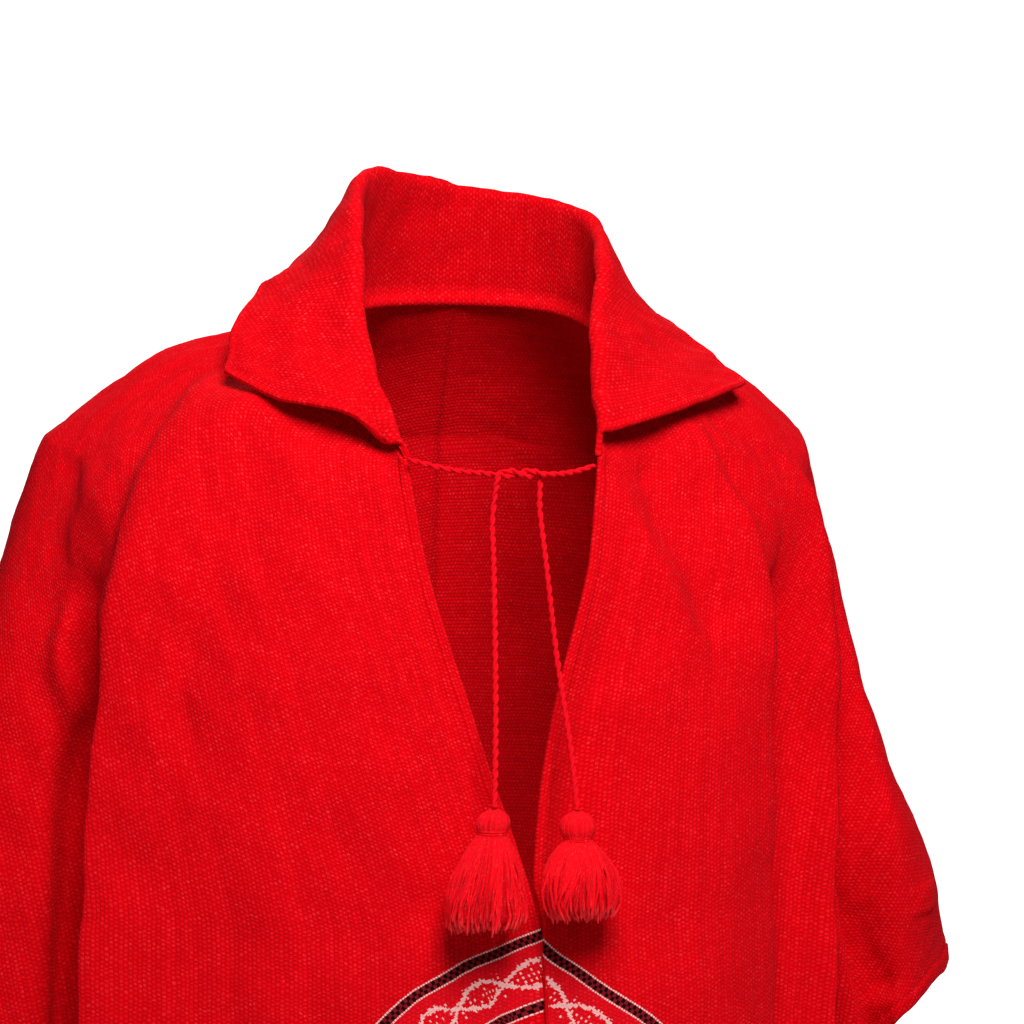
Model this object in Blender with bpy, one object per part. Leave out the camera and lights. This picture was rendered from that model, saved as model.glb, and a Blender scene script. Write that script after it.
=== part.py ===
"""Andean poncho in its worn form: two woven body panels, a fold-over collar, a tie cord in two halves and two tassels.

Metres, +Z up, the front faces -Y, +X is the wearer's left. The origin is the middle of the base of the neck.
Each panel is drawn by meridians: lines that run down the cloth from the neck seam to the hem, one for each fold
crest and fold valley. The surface is faired through them and given the cloth's thickness.
"""

import math

import bpy
import numpy as np

# ---- driving sizes, metres ----
CLOTH_T = 0.0020          # body cloth wall
COLLAR_T = 0.0022         # collar wall
SEAM_GAP = 0.0003         # clearance between pieces at a seam
SLIT_END_Z = -0.262       # the slit closes here, at the bust
CHEST_Z = -0.17           # level of the chest section
BUST_Z = -0.265           # level of the bust section
CORD_D = 0.0028           # tie cord
KNOT_R = 0.0022           # half the distance between the two cords in the knot
TASSEL_HEAD_R = 0.0068
TASSEL_LENGTH_RIGHT = 0.0530
TASSEL_LENGTH_LEFT = 0.0475
TASSEL_FLAT = 0.72         # depth over width

RED = (0.62, 0.012, 0.018)
DEEP_RED = (0.50, 0.006, 0.012)

# ---- neck seam, from the slit's corner (0 degrees) round to the centre back (180) ----
#        deg     x       y       z
NECK_LEFT = [
    (0, 0.0372, -0.0900, -0.0500),
    (45, 0.0490, -0.0570, -0.0240),
    (90, 0.0630, -0.0050, 0.0090),
    (135, 0.0500, 0.0400, 0.0240),
    (180, 0.0000, 0.0600, 0.0290),
]
NECK_RIGHT = [
    (0, -0.0524, -0.0900, -0.0510),
    (45, -0.0640, -0.0530, -0.0240),
    (90, -0.0670, -0.0050, 0.0110),
    (135, -0.0520, 0.0400, 0.0250),
    (180, 0.0000, 0.0600, 0.0290),
]

# ---- meridians ----
# fold: what the line follows. soft: 1 is a round turn of the cloth, 0 a knife edge. deg: where it leaves the neck seam.
# up: how far the yoke bows up between neck and shoulder. Then the line's place at the shoulder (x, y, z),
# at the chest (x, y), at the bust (x, y) and at the hem (x, y, z).
#    fold              soft deg   up      shoulder x,y,z              chest x,y          bust x,y           hem x,y,z
FRONT_LEFT = [
    ("slit edge",      1.0,   0, 0.000,   0.0318, -0.1000, -0.0850,   0.0118, -0.1180,   0.0000, -0.1350,   0.0000, -0.1460, -0.655),
    ("front flat",     1.0,  20, 0.003,   0.0600, -0.0900, -0.0800,   0.0500, -0.1210,   0.0460, -0.1360,   0.0480, -0.1500, -0.662),
    ("front hollow",   1.0,  38, 0.005,   0.0870, -0.0740, -0.0740,   0.0900, -0.1090,   0.0900, -0.1240,   0.0900, -0.1370, -0.680),
    ("crest one",      0.28, 52, 0.009,   0.1105, -0.0610, -0.0640,   0.1215, -0.0920,   0.1190, -0.1040,   0.1160, -0.1240, -0.705),
    ("under crest one",0.60, 62, 0.008,   0.1330, -0.0440, -0.0590,   0.1130, -0.0580,   0.0990, -0.0660,   0.0860, -0.0720, -0.720),
    ("crest two",      0.30, 72, 0.007,   0.1530, -0.0260, -0.0530,   0.1680, -0.0500,   0.1640, -0.0640,   0.1600, -0.0900, -0.752),
    ("under crest two",0.60, 78, 0.007,   0.1610, -0.0150, -0.0500,   0.1570, -0.0190,   0.1430, -0.0200,   0.1440, -0.0340, -0.700),
    ("crest three",    0.40, 83, 0.0100,   0.1670, -0.0040, -0.0470,   0.1750, -0.0200,   0.1710, -0.0420,   0.2560, -0.0620, -0.600),
    ("arm hollow",     0.70, 88, 0.0110,   0.1710, 0.0070, -0.0445,    0.1800, -0.0120,   0.1740, -0.0180,   0.2050, -0.0160, -0.345),
    ("arm front",      0.90, 92, 0.0130,  0.1725, 0.0170, -0.0400,    0.1940, -0.0120,   0.2070, -0.0340,   0.2100, -0.0260, -0.334),
    ("arm outside",    1.0,  98, 0.0140,  0.1730, 0.0300, -0.0375,    0.2020, 0.0200,    0.2415, 0.0140,    0.2515, 0.0120, -0.312),
    ("arm back",       0.9, 106, 0.0140,  0.1650, 0.0480, -0.0430,    0.1920, 0.0620,    0.2130, 0.0680,    0.2140, 0.0640, -0.345),
]
FRONT_RIGHT = [
    ("slit edge",      1.0,   0, 0.000,  -0.0484, -0.1000, -0.0850,  -0.0268, -0.1180,   0.0000, -0.1350,   0.0000, -0.1460, -0.655),
    ("front flat",     1.0,  18, 0.003,  -0.0780, -0.0960, -0.0840,  -0.0680, -0.1230,  -0.0540, -0.1370,  -0.0540, -0.1500, -0.662),
    ("front swell",    1.0,  34, 0.010,  -0.1120, -0.0880, -0.0800,  -0.1180, -0.1160,  -0.1100, -0.1300,  -0.1080, -0.1440, -0.680),
    ("soft trough",    1.0,  44, 0.016,  -0.1420, -0.0790, -0.0760,  -0.1560, -0.1010,  -0.1560, -0.1150,  -0.1580, -0.1320, -0.705),
    ("crest one",      0.30, 54, 0.021,  -0.1660, -0.0700, -0.0680,  -0.1945, -0.0820,  -0.2030, -0.0970,  -0.2090, -0.1180, -0.730),
    ("under crest one",0.60, 66, 0.018,  -0.1800, -0.0500, -0.0625,  -0.1820, -0.0420,  -0.1760, -0.0480,  -0.1660, -0.0560, -0.745),
    ("crest two",      0.60, 75, 0.016,  -0.1900, -0.0320, -0.0560,  -0.2090, -0.0380,  -0.2130, -0.0480,  -0.2240, -0.0740, -0.760),
    ("arm hollow",     0.80, 83, 0.018,  -0.1970, -0.0160, -0.0500,  -0.2240, -0.0330,  -0.2320, -0.0400,  -0.2380, -0.0500, -0.560),
    ("arm front",      0.90, 90, 0.0190,  -0.2060, -0.0040, -0.0455,  -0.2410, -0.0240,  -0.2540, -0.0330,  -0.2720, -0.0420, -0.430),
    ("arm outside",    1.0,  98, 0.0190,  -0.2090, 0.0140, -0.0400,   -0.2540, 0.0080,   -0.2800, 0.0040,   -0.3020, 0.0020, -0.372),
    ("arm back",       0.9, 106, 0.0180, -0.2010, 0.0340, -0.0440,   -0.2390, 0.0480,   -0.2560, 0.0540,   -0.2700, 0.0560, -0.410),
]
# The back is the same on both sides: x is in shares of that side's arm-back line.
#    fold              soft deg   up      shoulder x,y,z              chest x,y          bust x,y           hem x,y,z
BACK = [
    ("back arm hollow",0.60, 113, 0.010,  0.900, 0.0650, -0.0500,    0.820, 0.0560,     0.800, 0.0530,     0.900, 0.0700, -0.480),
    ("back crest",     0.45, 121, 0.010,  0.780, 0.0820, -0.0540,    0.790, 0.1000,     0.780, 0.1100,     0.800, 0.1240, -0.745),
    ("under back crest",0.60,131, 0.010,  0.620, 0.0930, -0.0520,    0.560, 0.0780,     0.500, 0.0700,     0.470, 0.0700, -0.722),
    ("back swell",     1.0,  145, 0.008,  0.430, 0.1000, -0.0480,    0.420, 0.1160,     0.400, 0.1240,     0.400, 0.1340, -0.690),
    ("centre back",    1.0,  180, 0.004,  0.000, 0.1000, -0.0400,    0.000, 0.1180,     0.000, 0.1240,     0.000, 0.1300, -0.650),
]
YOKE_AT = 0.6             # the yoke station's share of the way from neck to shoulder
SHOULDER_TURN_FRONT = 1.2  # how round a front line turns at the shoulder station
SHOULDER_TURN_ARM = 0.10   # and a line that runs down the arm or the back

# Facets along each stretch of a meridian, and across each gap between meridians.
STATIONS = 7
DOWN_STEPS = (2, 2, 3, 3, 3, 3)
ACROSS_STEPS = 3

# ---- collar sections, from the wearer's right corner round the back to the left corner ----
# roll: the fold at the top of the stand. edge: the free outer edge. belly: how far the fall bows out.
#    section            roll x,y,z                  edge x,y,z                 belly
COLLAR = [
    ("right corner",   -0.0560, -0.0880, -0.0425,  -0.1304, -0.0460, -0.0115,  0.001),
    ("right front",    -0.0650, -0.0560, 0.0080,   -0.1236, -0.0240, 0.0110,   0.001),
    ("right side",     -0.0620, -0.0260, 0.0540,   -0.1035, 0.0040, 0.0320,   -0.001),
    ("right back",     -0.0480, 0.0200, 0.0880,    -0.0700, 0.0600, 0.0400,   -0.001),
    ("centre back",    0.0020, 0.0520, 0.0840,     0.0000, 0.0980, 0.0260,     0.003),
    ("left back",      0.0570, 0.0220, 0.0700,     0.0850, 0.0600, 0.0240,    -0.001),
    ("left side",      0.0545, -0.0200, 0.0440,    0.1030, 0.0150, 0.0135,    -0.003),
    ("left front",     0.0415, -0.0560, 0.0080,    0.1205, -0.0020, -0.0030,   0.000),
    ("left corner",    0.0390, -0.0885, -0.0375,   0.1294, -0.0240, -0.0155,   0.001),
]
COLLAR_DEG = (0, 45, 80, 125, 180, 235, 280, 315, 360)  # where each section leaves the neck seam
COLLAR_LIFT = 0.0012
ROLL_R = 0.0046
COLLAR_STEPS = 3
COLLAR_ACROSS = (3, 4, 5)  # facets up the stand, round the roll and down the fall

# ---- cords ----
KNOT_AT = (-0.0035, -0.1045, -0.0575)
KNOT_LENGTH = 0.019
KNOT_BEND = 0.13           # how far each cord turns out of the knot before it drops
CORD_SAG = 0.0016
CORD_FROM_RIGHT = (-0.0500, -0.0955, -0.0520)
CORD_FROM_LEFT = (0.0340, -0.0955, -0.0540)
#                      x        y        z    hanging ends, below the knot
HANG_RIGHT = [
    (-0.0164, -0.1075, -0.0720),
    (-0.0182, -0.1160, -0.0962),
    (-0.0200, -0.1270, -0.1330),
    (-0.0232, -0.1420, -0.1800),
    (-0.0255, -0.1500, -0.2040),
]
HANG_LEFT = [
    (0.0052, -0.1075, -0.0720),
    (0.0060, -0.1160, -0.0965),
    (0.0088, -0.1260, -0.1400),
    (0.0115, -0.1420, -0.1820),
    (0.0122, -0.1500, -0.2060),
]


def smoothstep(a, b, x):
    t = np.clip((x - a) / (b - a), 0.0, 1.0)
    return t * t * (3 - 2 * t)


def through(points, soft, steps, first=None, last=None):
    """Smooth line through the points. soft scales the turn at each point; steps is the number of facets in each gap.

    points is (n, ..., 3) and soft (n, ...): all lines side by side are drawn in one call."""
    points = np.asarray(points, float)
    soft = np.asarray(soft, float)
    while soft.ndim < points.ndim - 1:
        soft = soft[:, None]
    step = points[1:] - points[:-1]
    size = np.linalg.norm(step, axis=-1, keepdims=True) + 1e-9
    unit = step / size
    turn = np.empty_like(points)
    turn[1:-1] = (unit[:-1] * size[1:] + unit[1:] * size[:-1]) / (size[1:] + size[:-1])
    turn[0] = unit[0] if first is None else first
    turn[-1] = unit[-1] if last is None else last
    turn = turn * soft[..., None]
    out = []
    for i in range(len(points) - 1):
        n = steps[i]
        t = np.arange(n + (i == len(points) - 2)) / n
        t = t.reshape((-1,) + (1,) * (points.ndim - 1))
        h00, h10 = 2 * t**3 - 3 * t**2 + 1, t**3 - 2 * t**2 + t
        h01, h11 = 3 * t**2 - 2 * t**3, t**3 - t**2
        out.append(h00 * points[i] + h10 * size[i] * turn[i] + h01 * points[i + 1] + h11 * size[i] * turn[i + 1])
    return np.concatenate(out)


def neck_point(table, deg):
    table = np.array(table, float)
    line = through(table[:, 1:], np.ones(len(table)), [12] * (len(table) - 1),
                   last=np.array([-np.sign(table[1, 1]), 0.0, 0.0]))
    at = np.interp(np.linspace(0, len(table) - 1, len(line)), np.arange(len(table)), table[:, 0])
    return np.array([np.interp(deg, at, line[:, k]) for k in range(3)])


def meridians(front, neck):
    """(rows, stations, 3) places of the fold lines and (rows,) softness."""
    side = np.sign(front[-1][4])
    reach = [abs(front[-1][4]), abs(front[-1][7]), abs(front[-1][9]), abs(front[-1][11])]
    rows = list(front)
    for name, soft, deg, up, sx, sy, sz, cx, cy, bx, by, hx, hy, hz in BACK:
        rows.append((name, soft, deg, up, side * sx * reach[0], sy, sz, side * cx * reach[1], cy,
                     side * bx * reach[2], by, side * hx * reach[3], hy, hz))
    out, softs = [], []
    for name, soft, deg, up, sx, sy, sz, cx, cy, bx, by, hx, hy, hz in rows:
        seam = neck_point(neck, deg)
        shoulder = np.array([sx, sy, sz])
        yoke = seam + YOKE_AT * (shoulder - seam) + np.array([0, 0, up])
        chest = np.array([cx, cy, CHEST_Z])
        bust = np.array([bx, by, BUST_Z])
        hem = np.array([hx, hy, hz])
        hip = bust + 0.5 * (hem - bust)
        out.append([seam, yoke, shoulder, chest, bust, hip, hem])
        softs.append(soft)
    return np.array(out), np.array(softs), np.array([row[2] for row in rows], float)


def panel_surface(front, neck, down, across):
    """(across, down, 3) outer face of a panel, from the slit edge round to the centre back."""
    rows, soft, degrees = meridians(front, neck)
    side = np.sign(front[-1][4])
    turn = np.ones((STATIONS, len(rows)))
    turn[2] = SHOULDER_TURN_FRONT + (SHOULDER_TURN_ARM - SHOULDER_TURN_FRONT) * smoothstep(60, 88, degrees)
    lines = through(rows.transpose(1, 0, 2), turn, down)
    level = np.concatenate([np.arange(n) / n + i for i, n in enumerate(down)] + [[float(len(down))]])
    fade = smoothstep(0.6, 2.6, level)[None, :]
    softs = 1 + (soft[:, None] - 1) * fade
    first = np.zeros((len(lines), 3))
    first[:, 0] = side
    last = first * -1.0
    steps = [across] * (len(rows) - 1)
    grid = through(lines.transpose(1, 0, 2), softs, steps, first=first * 0.9, last=last)
    # the slit edges close on the centre line, a seam gap apart
    edge = grid[0, :, 0]
    closed = grid[0, :, 2] <= SLIT_END_Z
    edge[closed] = side * SEAM_GAP / 2
    edge[~closed] = side * np.maximum(side * edge[~closed], SEAM_GAP / 2)if side > 0 else np.minimum(edge[~closed], -SEAM_GAP / 2)
    grid[0, :, 0] = edge
    grid[-1, :, 0] = side * SEAM_GAP / 2
    return grid


def grid_normals(grid):
    """Unit normals at the grid's points, each the mean of the quads round it weighted by their corner angles."""
    a, b, c, d = grid[:-1, :-1], grid[1:, :-1], grid[1:, 1:], grid[:-1, 1:]
    total = np.zeros_like(grid)

    def corner(at, right, left, where):
        e, f = right - at, left - at
        e = e / (np.linalg.norm(e, axis=-1, keepdims=True) + 1e-12)
        f = f / (np.linalg.norm(f, axis=-1, keepdims=True) + 1e-12)
        n = np.cross(e, f)
        size = np.linalg.norm(n, axis=-1, keepdims=True)
        angle = np.arctan2(size, (e * f).sum(-1, keepdims=True))
        total[where] += n / (size + 1e-12) * angle

    corner(a, b, d, (slice(None, -1), slice(None, -1)))
    corner(b, c, a, (slice(1, None), slice(None, -1)))
    corner(c, d, b, (slice(1, None), slice(1, None)))
    corner(d, a, c, (slice(None, -1), slice(1, None)))
    return total / (np.linalg.norm(total, axis=-1, keepdims=True) + 1e-12)


def shell(outer, inner):
    """Vertices and quads of a closed sheet between two faces given on the same grid."""
    nu, nv = outer.shape[:2]
    verts = np.concatenate([outer.reshape(-1, 3), inner.reshape(-1, 3)])
    a = np.arange(nu * nv).reshape(nu, nv)
    b = a + nu * nv
    quads = []
    for i in range(nu - 1):
        for j in range(nv - 1):
            # both faces are cut along the same diagonal, the shorter one, so a twisted facet keeps its wall
            one = np.linalg.norm(outer[i, j] - outer[i + 1, j + 1])
            two = np.linalg.norm(outer[i + 1, j] - outer[i, j + 1])
            corners = [(i, j), (i + 1, j), (i + 1, j + 1), (i, j + 1)]
            cuts = ((0, 1, 2), (0, 2, 3)) if one <= two else ((1, 2, 3), (1, 3, 0))
            for cut in cuts:
                quads.append(tuple(a[corners[k]] for k in cut))
                quads.append(tuple(b[corners[k]] for k in reversed(cut)))
    for i in range(nu - 1):
        quads.append((a[i, 0], b[i, 0], b[i + 1, 0], a[i + 1, 0]))
        quads.append((a[i, -1], a[i + 1, -1], b[i + 1, -1], b[i, -1]))
    for j in range(nv - 1):
        quads.append((a[0, j], a[0, j + 1], b[0, j + 1], b[0, j]))
        quads.append((a[-1, j], b[-1, j], b[-1, j + 1], a[-1, j + 1]))
    return verts, quads


def material(name, colour, roughness):
    mat = bpy.data.materials.new(name)
    mat.use_nodes = True
    shader = mat.node_tree.nodes["Principled BSDF"]
    shader.inputs["Base Color"].default_value = (*colour, 1.0)
    shader.inputs["Roughness"].default_value = roughness
    shader.inputs["Metallic"].default_value = 0.0
    return mat


def volume(verts, faces):
    total = 0.0
    for f in faces:
        p = verts[list(f)]
        for k in range(1, len(f) - 1):
            total += np.dot(p[0], np.cross(p[k], p[k + 1]))
    return total / 6


def add_mesh(name, verts, faces, mat):
    if volume(verts, faces) < 0:
        faces = [tuple(reversed(f)) for f in faces]
    mesh = bpy.data.meshes.new(name)
    mesh.from_pydata([tuple(v) for v in verts], [], [tuple(int(k) for k in f) for f in faces])
    mesh.materials.append(mat)
    for poly in mesh.polygons:
        poly.use_smooth = True
    obj = bpy.data.objects.new(name, mesh)
    bpy.context.scene.collection.objects.link(obj)
    return obj


def make_panel(name, front, neck, mat):
    grid = panel_surface(front, neck, DOWN_STEPS, ACROSS_STEPS)
    normal = grid_normals(grid)
    side = np.sign(front[-1][4])
    outward = normal * -side
    # the middle seams stay in their own plane, so the two panels never cross
    for row in (0, -1):
        outward[row, :, 0] = 0.0
        outward[row] /= np.linalg.norm(outward[row], axis=-1, keepdims=True)
    # at the neck seam the edge is cut square to the cloth
    inner = grid - CLOTH_T * outward
    verts, quads = shell(grid, inner)
    return add_mesh(name, verts, quads, mat)


def collar_seam(steps):
    """The collar's seam line, just above the neck edge of the panels, at each step round the neck."""
    count = steps * (len(COLLAR) - 1) + 1
    degrees = np.interp(np.linspace(0, len(COLLAR) - 1, count), np.arange(len(COLLAR)), COLLAR_DEG)
    seam = [neck_point(NECK_RIGHT, d) if d <= 180 else neck_point(NECK_LEFT, 360 - d) for d in degrees]
    return np.array(seam) + np.array([0, 0, COLLAR_LIFT])


def collar_surface(steps, across):
    """(round the neck, across the strip, 3) middle face of the collar."""
    seam = collar_seam(steps)
    roll = np.array([r[1:4] for r in COLLAR])
    edge = np.array([r[4:7] for r in COLLAR])
    belly = np.array([r[7] for r in COLLAR])
    ones = np.ones(len(COLLAR))
    n = [steps] * (len(COLLAR) - 1)
    roll, edge = (through(p, ones, n) for p in (roll, edge))
    belly = np.interp(np.linspace(0, len(COLLAR) - 1, len(seam)), np.arange(len(COLLAR)), belly)
    out = []
    for s, r, e, b, along in zip(seam, roll, edge, belly, np.gradient(roll, axis=0)):
        away = np.cross(along, r - s)
        away *= np.sign(away @ (e - s)) / np.linalg.norm(away)
        stand = np.linalg.norm(r - s)
        radius = min(ROLL_R, 0.45 * stand)
        up = (r - s) / stand
        top = r - up * radius
        over = r + away * radius * 1.2
        down = e - over
        down_unit = down / np.linalg.norm(down)
        bow = np.cross(np.cross(down_unit, [0, 0, 1.0]), down_unit)
        bow = bow / (np.linalg.norm(bow) + 1e-9)
        start = over + down_unit * radius * 0.8
        line = [s + (top - s) * k / across[0] for k in range(across[0])]
        for k in range(across[1]):
            t = k / across[1]
            line.append((1 - t) ** 3 * top + 3 * (1 - t) ** 2 * t * (top + up * radius * 1.3)
                        + 3 * (1 - t) * t**2 * (start - down_unit * radius * 1.3) + t**3 * start)
        for k in range(across[2] + 1):
            t = k / across[2]
            line.append(start + (e - start) * t + bow * b * 4 * t * (1 - t))
        out.append(line)
    return np.array(out)


def make_collar(mat):
    mid = collar_surface(COLLAR_STEPS, COLLAR_ACROSS)
    normal = grid_normals(mid)
    verts, quads = shell(mid + normal * COLLAR_T / 2, mid - normal * COLLAR_T / 2)
    return add_mesh("collar", verts, quads, mat)


def cord_path(start, hang, phase):
    """From the slit's corner to the knot, once round the other cord, then down."""
    start = np.array(start)
    knot = np.array(KNOT_AT)
    toward = np.sign(knot[0] - start[0])
    coil = []
    for k in range(17):
        a = phase + toward * 2 * math.pi * k / 16
        coil.append(knot + np.array([toward * KNOT_LENGTH * (k / 16 - 0.5), KNOT_R * math.cos(a), KNOT_R * math.sin(a)]))
    line = []
    for k in range(6):
        p = start + (coil[0] - start) * k / 6
        p[2] -= CORD_SAG * math.sin(math.pi * k / 6)
        line.append(p)
    tail = np.concatenate([[coil[-1]], hang])
    ahead = np.array([toward * 0.8, 0.0, 0.6])
    drop = through(tail, np.array([3.0] + [1.0] * len(hang)), [8, 3, 4, 5, 3], first=ahead * KNOT_BEND)
    return np.concatenate([line, coil[:-1], drop])


def make_cord(name, points, mat):
    curve = bpy.data.curves.new(name, "CURVE")
    curve.dimensions = "3D"
    curve.bevel_depth = CORD_D / 2
    curve.bevel_resolution = 2
    curve.use_fill_caps = True
    spline = curve.splines.new("POLY")
    spline.points.add(len(points) - 1)
    for point, at in zip(spline.points, points):
        point.co = (*at, 1.0)
    curve.materials.append(mat)
    obj = bpy.data.objects.new(name, curve)
    bpy.context.scene.collection.objects.link(obj)
    return obj


def make_tassel(name, top, length, mat, lean):
    """Bound head and spreading skirt, turned about its own axis."""
    #      down     radius, shares of the head radius and of the length
    profile = [
        (0.000, 0.30), (0.020, 0.62), (0.080, 0.95), (0.150, 1.00), (0.220, 0.92), (0.262, 0.80),
        (0.320, 1.20), (0.420, 1.75), (0.560, 2.20), (0.720, 2.50), (0.860, 2.62), (0.950, 2.45), (1.000, 2.00),
    ]
    sides = 14
    top = np.array(top)
    verts = [top]
    for down, radius in profile:
        for k in range(sides):
            a = 2 * math.pi * k / sides
            r = radius * TASSEL_HEAD_R
            at = top + np.array([r * math.cos(a) + lean[0] * down, TASSEL_FLAT * r * math.sin(a) + lean[1] * down, -down * length])
            verts.append(at)
    verts.append(top + np.array([lean[0], lean[1], -length]))
    faces = []
    for k in range(sides):
        faces.append((0, 1 + (k + 1) % sides, 1 + k))
    for ring in range(len(profile) - 1):
        for k in range(sides):
            a, b = 1 + ring * sides + k, 1 + ring * sides + (k + 1) % sides
            faces.append((a, b, b + sides, a + sides))
    last = 1 + (len(profile) - 1) * sides
    for k in range(sides):
        faces.append((last + k, last + (k + 1) % sides, len(verts) - 1))
    return add_mesh(name, np.array(verts), faces, mat)


def main():
    for old in list(bpy.data.objects):
        bpy.data.objects.remove(old, do_unlink=True)
    cloth_right = material("panel_wearer_right", RED, 0.9)
    cloth_left = material("panel_wearer_left", RED, 0.9)
    collar_cloth = material("collar", RED, 0.9)
    make_panel("panel_wearer_right", FRONT_RIGHT, NECK_RIGHT, cloth_right)
    make_panel("panel_wearer_left", FRONT_LEFT, NECK_LEFT, cloth_left)
    make_collar(collar_cloth)
    # the cords cross in the knot, so each one hangs on the side away from its own corner
    right = cord_path(CORD_FROM_RIGHT, HANG_LEFT, 0.0)
    left = cord_path(CORD_FROM_LEFT, HANG_RIGHT, math.pi)
    make_cord("tie_cord_right", right, material("tie_cord_right", DEEP_RED, 0.85))
    make_cord("tie_cord_left", left, material("tie_cord_left", DEEP_RED, 0.85))
    drop = np.array([0, 0, -SEAM_GAP - 0.0003])
    make_tassel("tassel_right", left[-1] + drop, TASSEL_LENGTH_RIGHT, material("tassel_right", RED, 0.9), (-0.003, -0.002))
    make_tassel("tassel_left", right[-1] + drop, TASSEL_LENGTH_LEFT, material("tassel_left", RED, 0.9), (0.001, -0.002))


main()
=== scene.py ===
"""Looks of the andean poncho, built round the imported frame. Metres, +Z up, the front faces -Y, +X is the wearer's left."""

import math

import bpy
import numpy as np
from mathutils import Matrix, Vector


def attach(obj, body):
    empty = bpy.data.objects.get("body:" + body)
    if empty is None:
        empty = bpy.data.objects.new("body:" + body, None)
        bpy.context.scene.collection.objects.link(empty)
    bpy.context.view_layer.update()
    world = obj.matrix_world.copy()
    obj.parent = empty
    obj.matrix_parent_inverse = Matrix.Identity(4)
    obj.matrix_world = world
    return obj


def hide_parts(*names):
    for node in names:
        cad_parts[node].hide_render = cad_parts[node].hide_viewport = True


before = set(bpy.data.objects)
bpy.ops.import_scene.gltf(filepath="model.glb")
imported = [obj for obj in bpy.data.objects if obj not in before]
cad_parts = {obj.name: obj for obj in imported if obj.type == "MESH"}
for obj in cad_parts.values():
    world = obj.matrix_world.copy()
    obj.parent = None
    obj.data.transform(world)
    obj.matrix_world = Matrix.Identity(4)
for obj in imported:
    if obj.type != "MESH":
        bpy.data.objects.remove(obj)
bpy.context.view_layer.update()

# ------------------------------------------------------------------ view
CAMERA_AT = (-0.31036712, -1.41838784, -0.02772636)
CAMERA_TO = (0.0156132, -0.00641191, -0.07833063)
LENS_MM = 104.06

camera_data = bpy.data.cameras.new("camera")
camera_data.sensor_width = 36.0
camera_data.lens = LENS_MM
camera_data.clip_start = 0.05
camera = bpy.data.objects.new("camera", camera_data)
bpy.context.scene.collection.objects.link(camera)
camera.location = CAMERA_AT
camera.rotation_euler = (Vector(CAMERA_TO) - Vector(CAMERA_AT)).to_track_quat("-Z", "Y").to_euler()
bpy.context.scene.camera = camera
bpy.context.scene.view_settings.view_transform = "Standard"

# ------------------------------------------------------------------ the frame's own sizes
CLOTH_T = 0.0020
COLLAR_T = 0.0022
SEAM_GAP = 0.0003
SLIT_END_Z = -0.262
CHEST_Z = -0.17
BUST_Z = -0.265
KNOT_R = 0.0022
TASSEL_HEAD_R = 0.0068
TASSEL_LENGTH_RIGHT = 0.0530
TASSEL_LENGTH_LEFT = 0.0475
TASSEL_FLAT = 0.72

#        deg     x       y       z
NECK_LEFT = [
    (0, 0.0372, -0.0900, -0.0500),
    (45, 0.0490, -0.0570, -0.0240),
    (90, 0.0630, -0.0050, 0.0090),
    (135, 0.0500, 0.0400, 0.0240),
    (180, 0.0000, 0.0600, 0.0290),
]
NECK_RIGHT = [
    (0, -0.0524, -0.0900, -0.0510),
    (45, -0.0640, -0.0530, -0.0240),
    (90, -0.0670, -0.0050, 0.0110),
    (135, -0.0520, 0.0400, 0.0250),
    (180, 0.0000, 0.0600, 0.0290),
]
#    fold              soft deg   up      shoulder x,y,z              chest x,y          bust x,y           hem x,y,z
FRONT_LEFT = [
    ("slit edge",      1.0,   0, 0.000,   0.0318, -0.1000, -0.0850,   0.0118, -0.1180,   0.0000, -0.1350,   0.0000, -0.1460, -0.655),
    ("front flat",     1.0,  20, 0.003,   0.0600, -0.0900, -0.0800,   0.0500, -0.1210,   0.0460, -0.1360,   0.0480, -0.1500, -0.662),
    ("front hollow",   1.0,  38, 0.005,   0.0870, -0.0740, -0.0740,   0.0900, -0.1090,   0.0900, -0.1240,   0.0900, -0.1370, -0.680),
    ("crest one",      0.28, 52, 0.009,   0.1105, -0.0610, -0.0640,   0.1215, -0.0920,   0.1190, -0.1040,   0.1160, -0.1240, -0.705),
    ("under crest one",0.60, 62, 0.008,   0.1330, -0.0440, -0.0590,   0.1130, -0.0580,   0.0990, -0.0660,   0.0860, -0.0720, -0.720),
    ("crest two",      0.30, 72, 0.007,   0.1530, -0.0260, -0.0530,   0.1680, -0.0500,   0.1640, -0.0640,   0.1600, -0.0900, -0.752),
    ("under crest two",0.60, 78, 0.007,   0.1610, -0.0150, -0.0500,   0.1570, -0.0190,   0.1430, -0.0200,   0.1440, -0.0340, -0.700),
    ("crest three",    0.40, 83, 0.0100,   0.1670, -0.0040, -0.0470,   0.1750, -0.0200,   0.1710, -0.0420,   0.2560, -0.0620, -0.600),
    ("arm hollow",     0.70, 88, 0.0110,   0.1710, 0.0070, -0.0445,    0.1800, -0.0120,   0.1740, -0.0180,   0.2050, -0.0160, -0.345),
    ("arm front",      0.90, 92, 0.0130,  0.1725, 0.0170, -0.0400,    0.1940, -0.0120,   0.2070, -0.0340,   0.2100, -0.0260, -0.334),
    ("arm outside",    1.0,  98, 0.0140,  0.1730, 0.0300, -0.0375,    0.2020, 0.0200,    0.2415, 0.0140,    0.2515, 0.0120, -0.312),
    ("arm back",       0.9, 106, 0.0140,  0.1650, 0.0480, -0.0430,    0.1920, 0.0620,    0.2130, 0.0680,    0.2140, 0.0640, -0.345),
]
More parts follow.
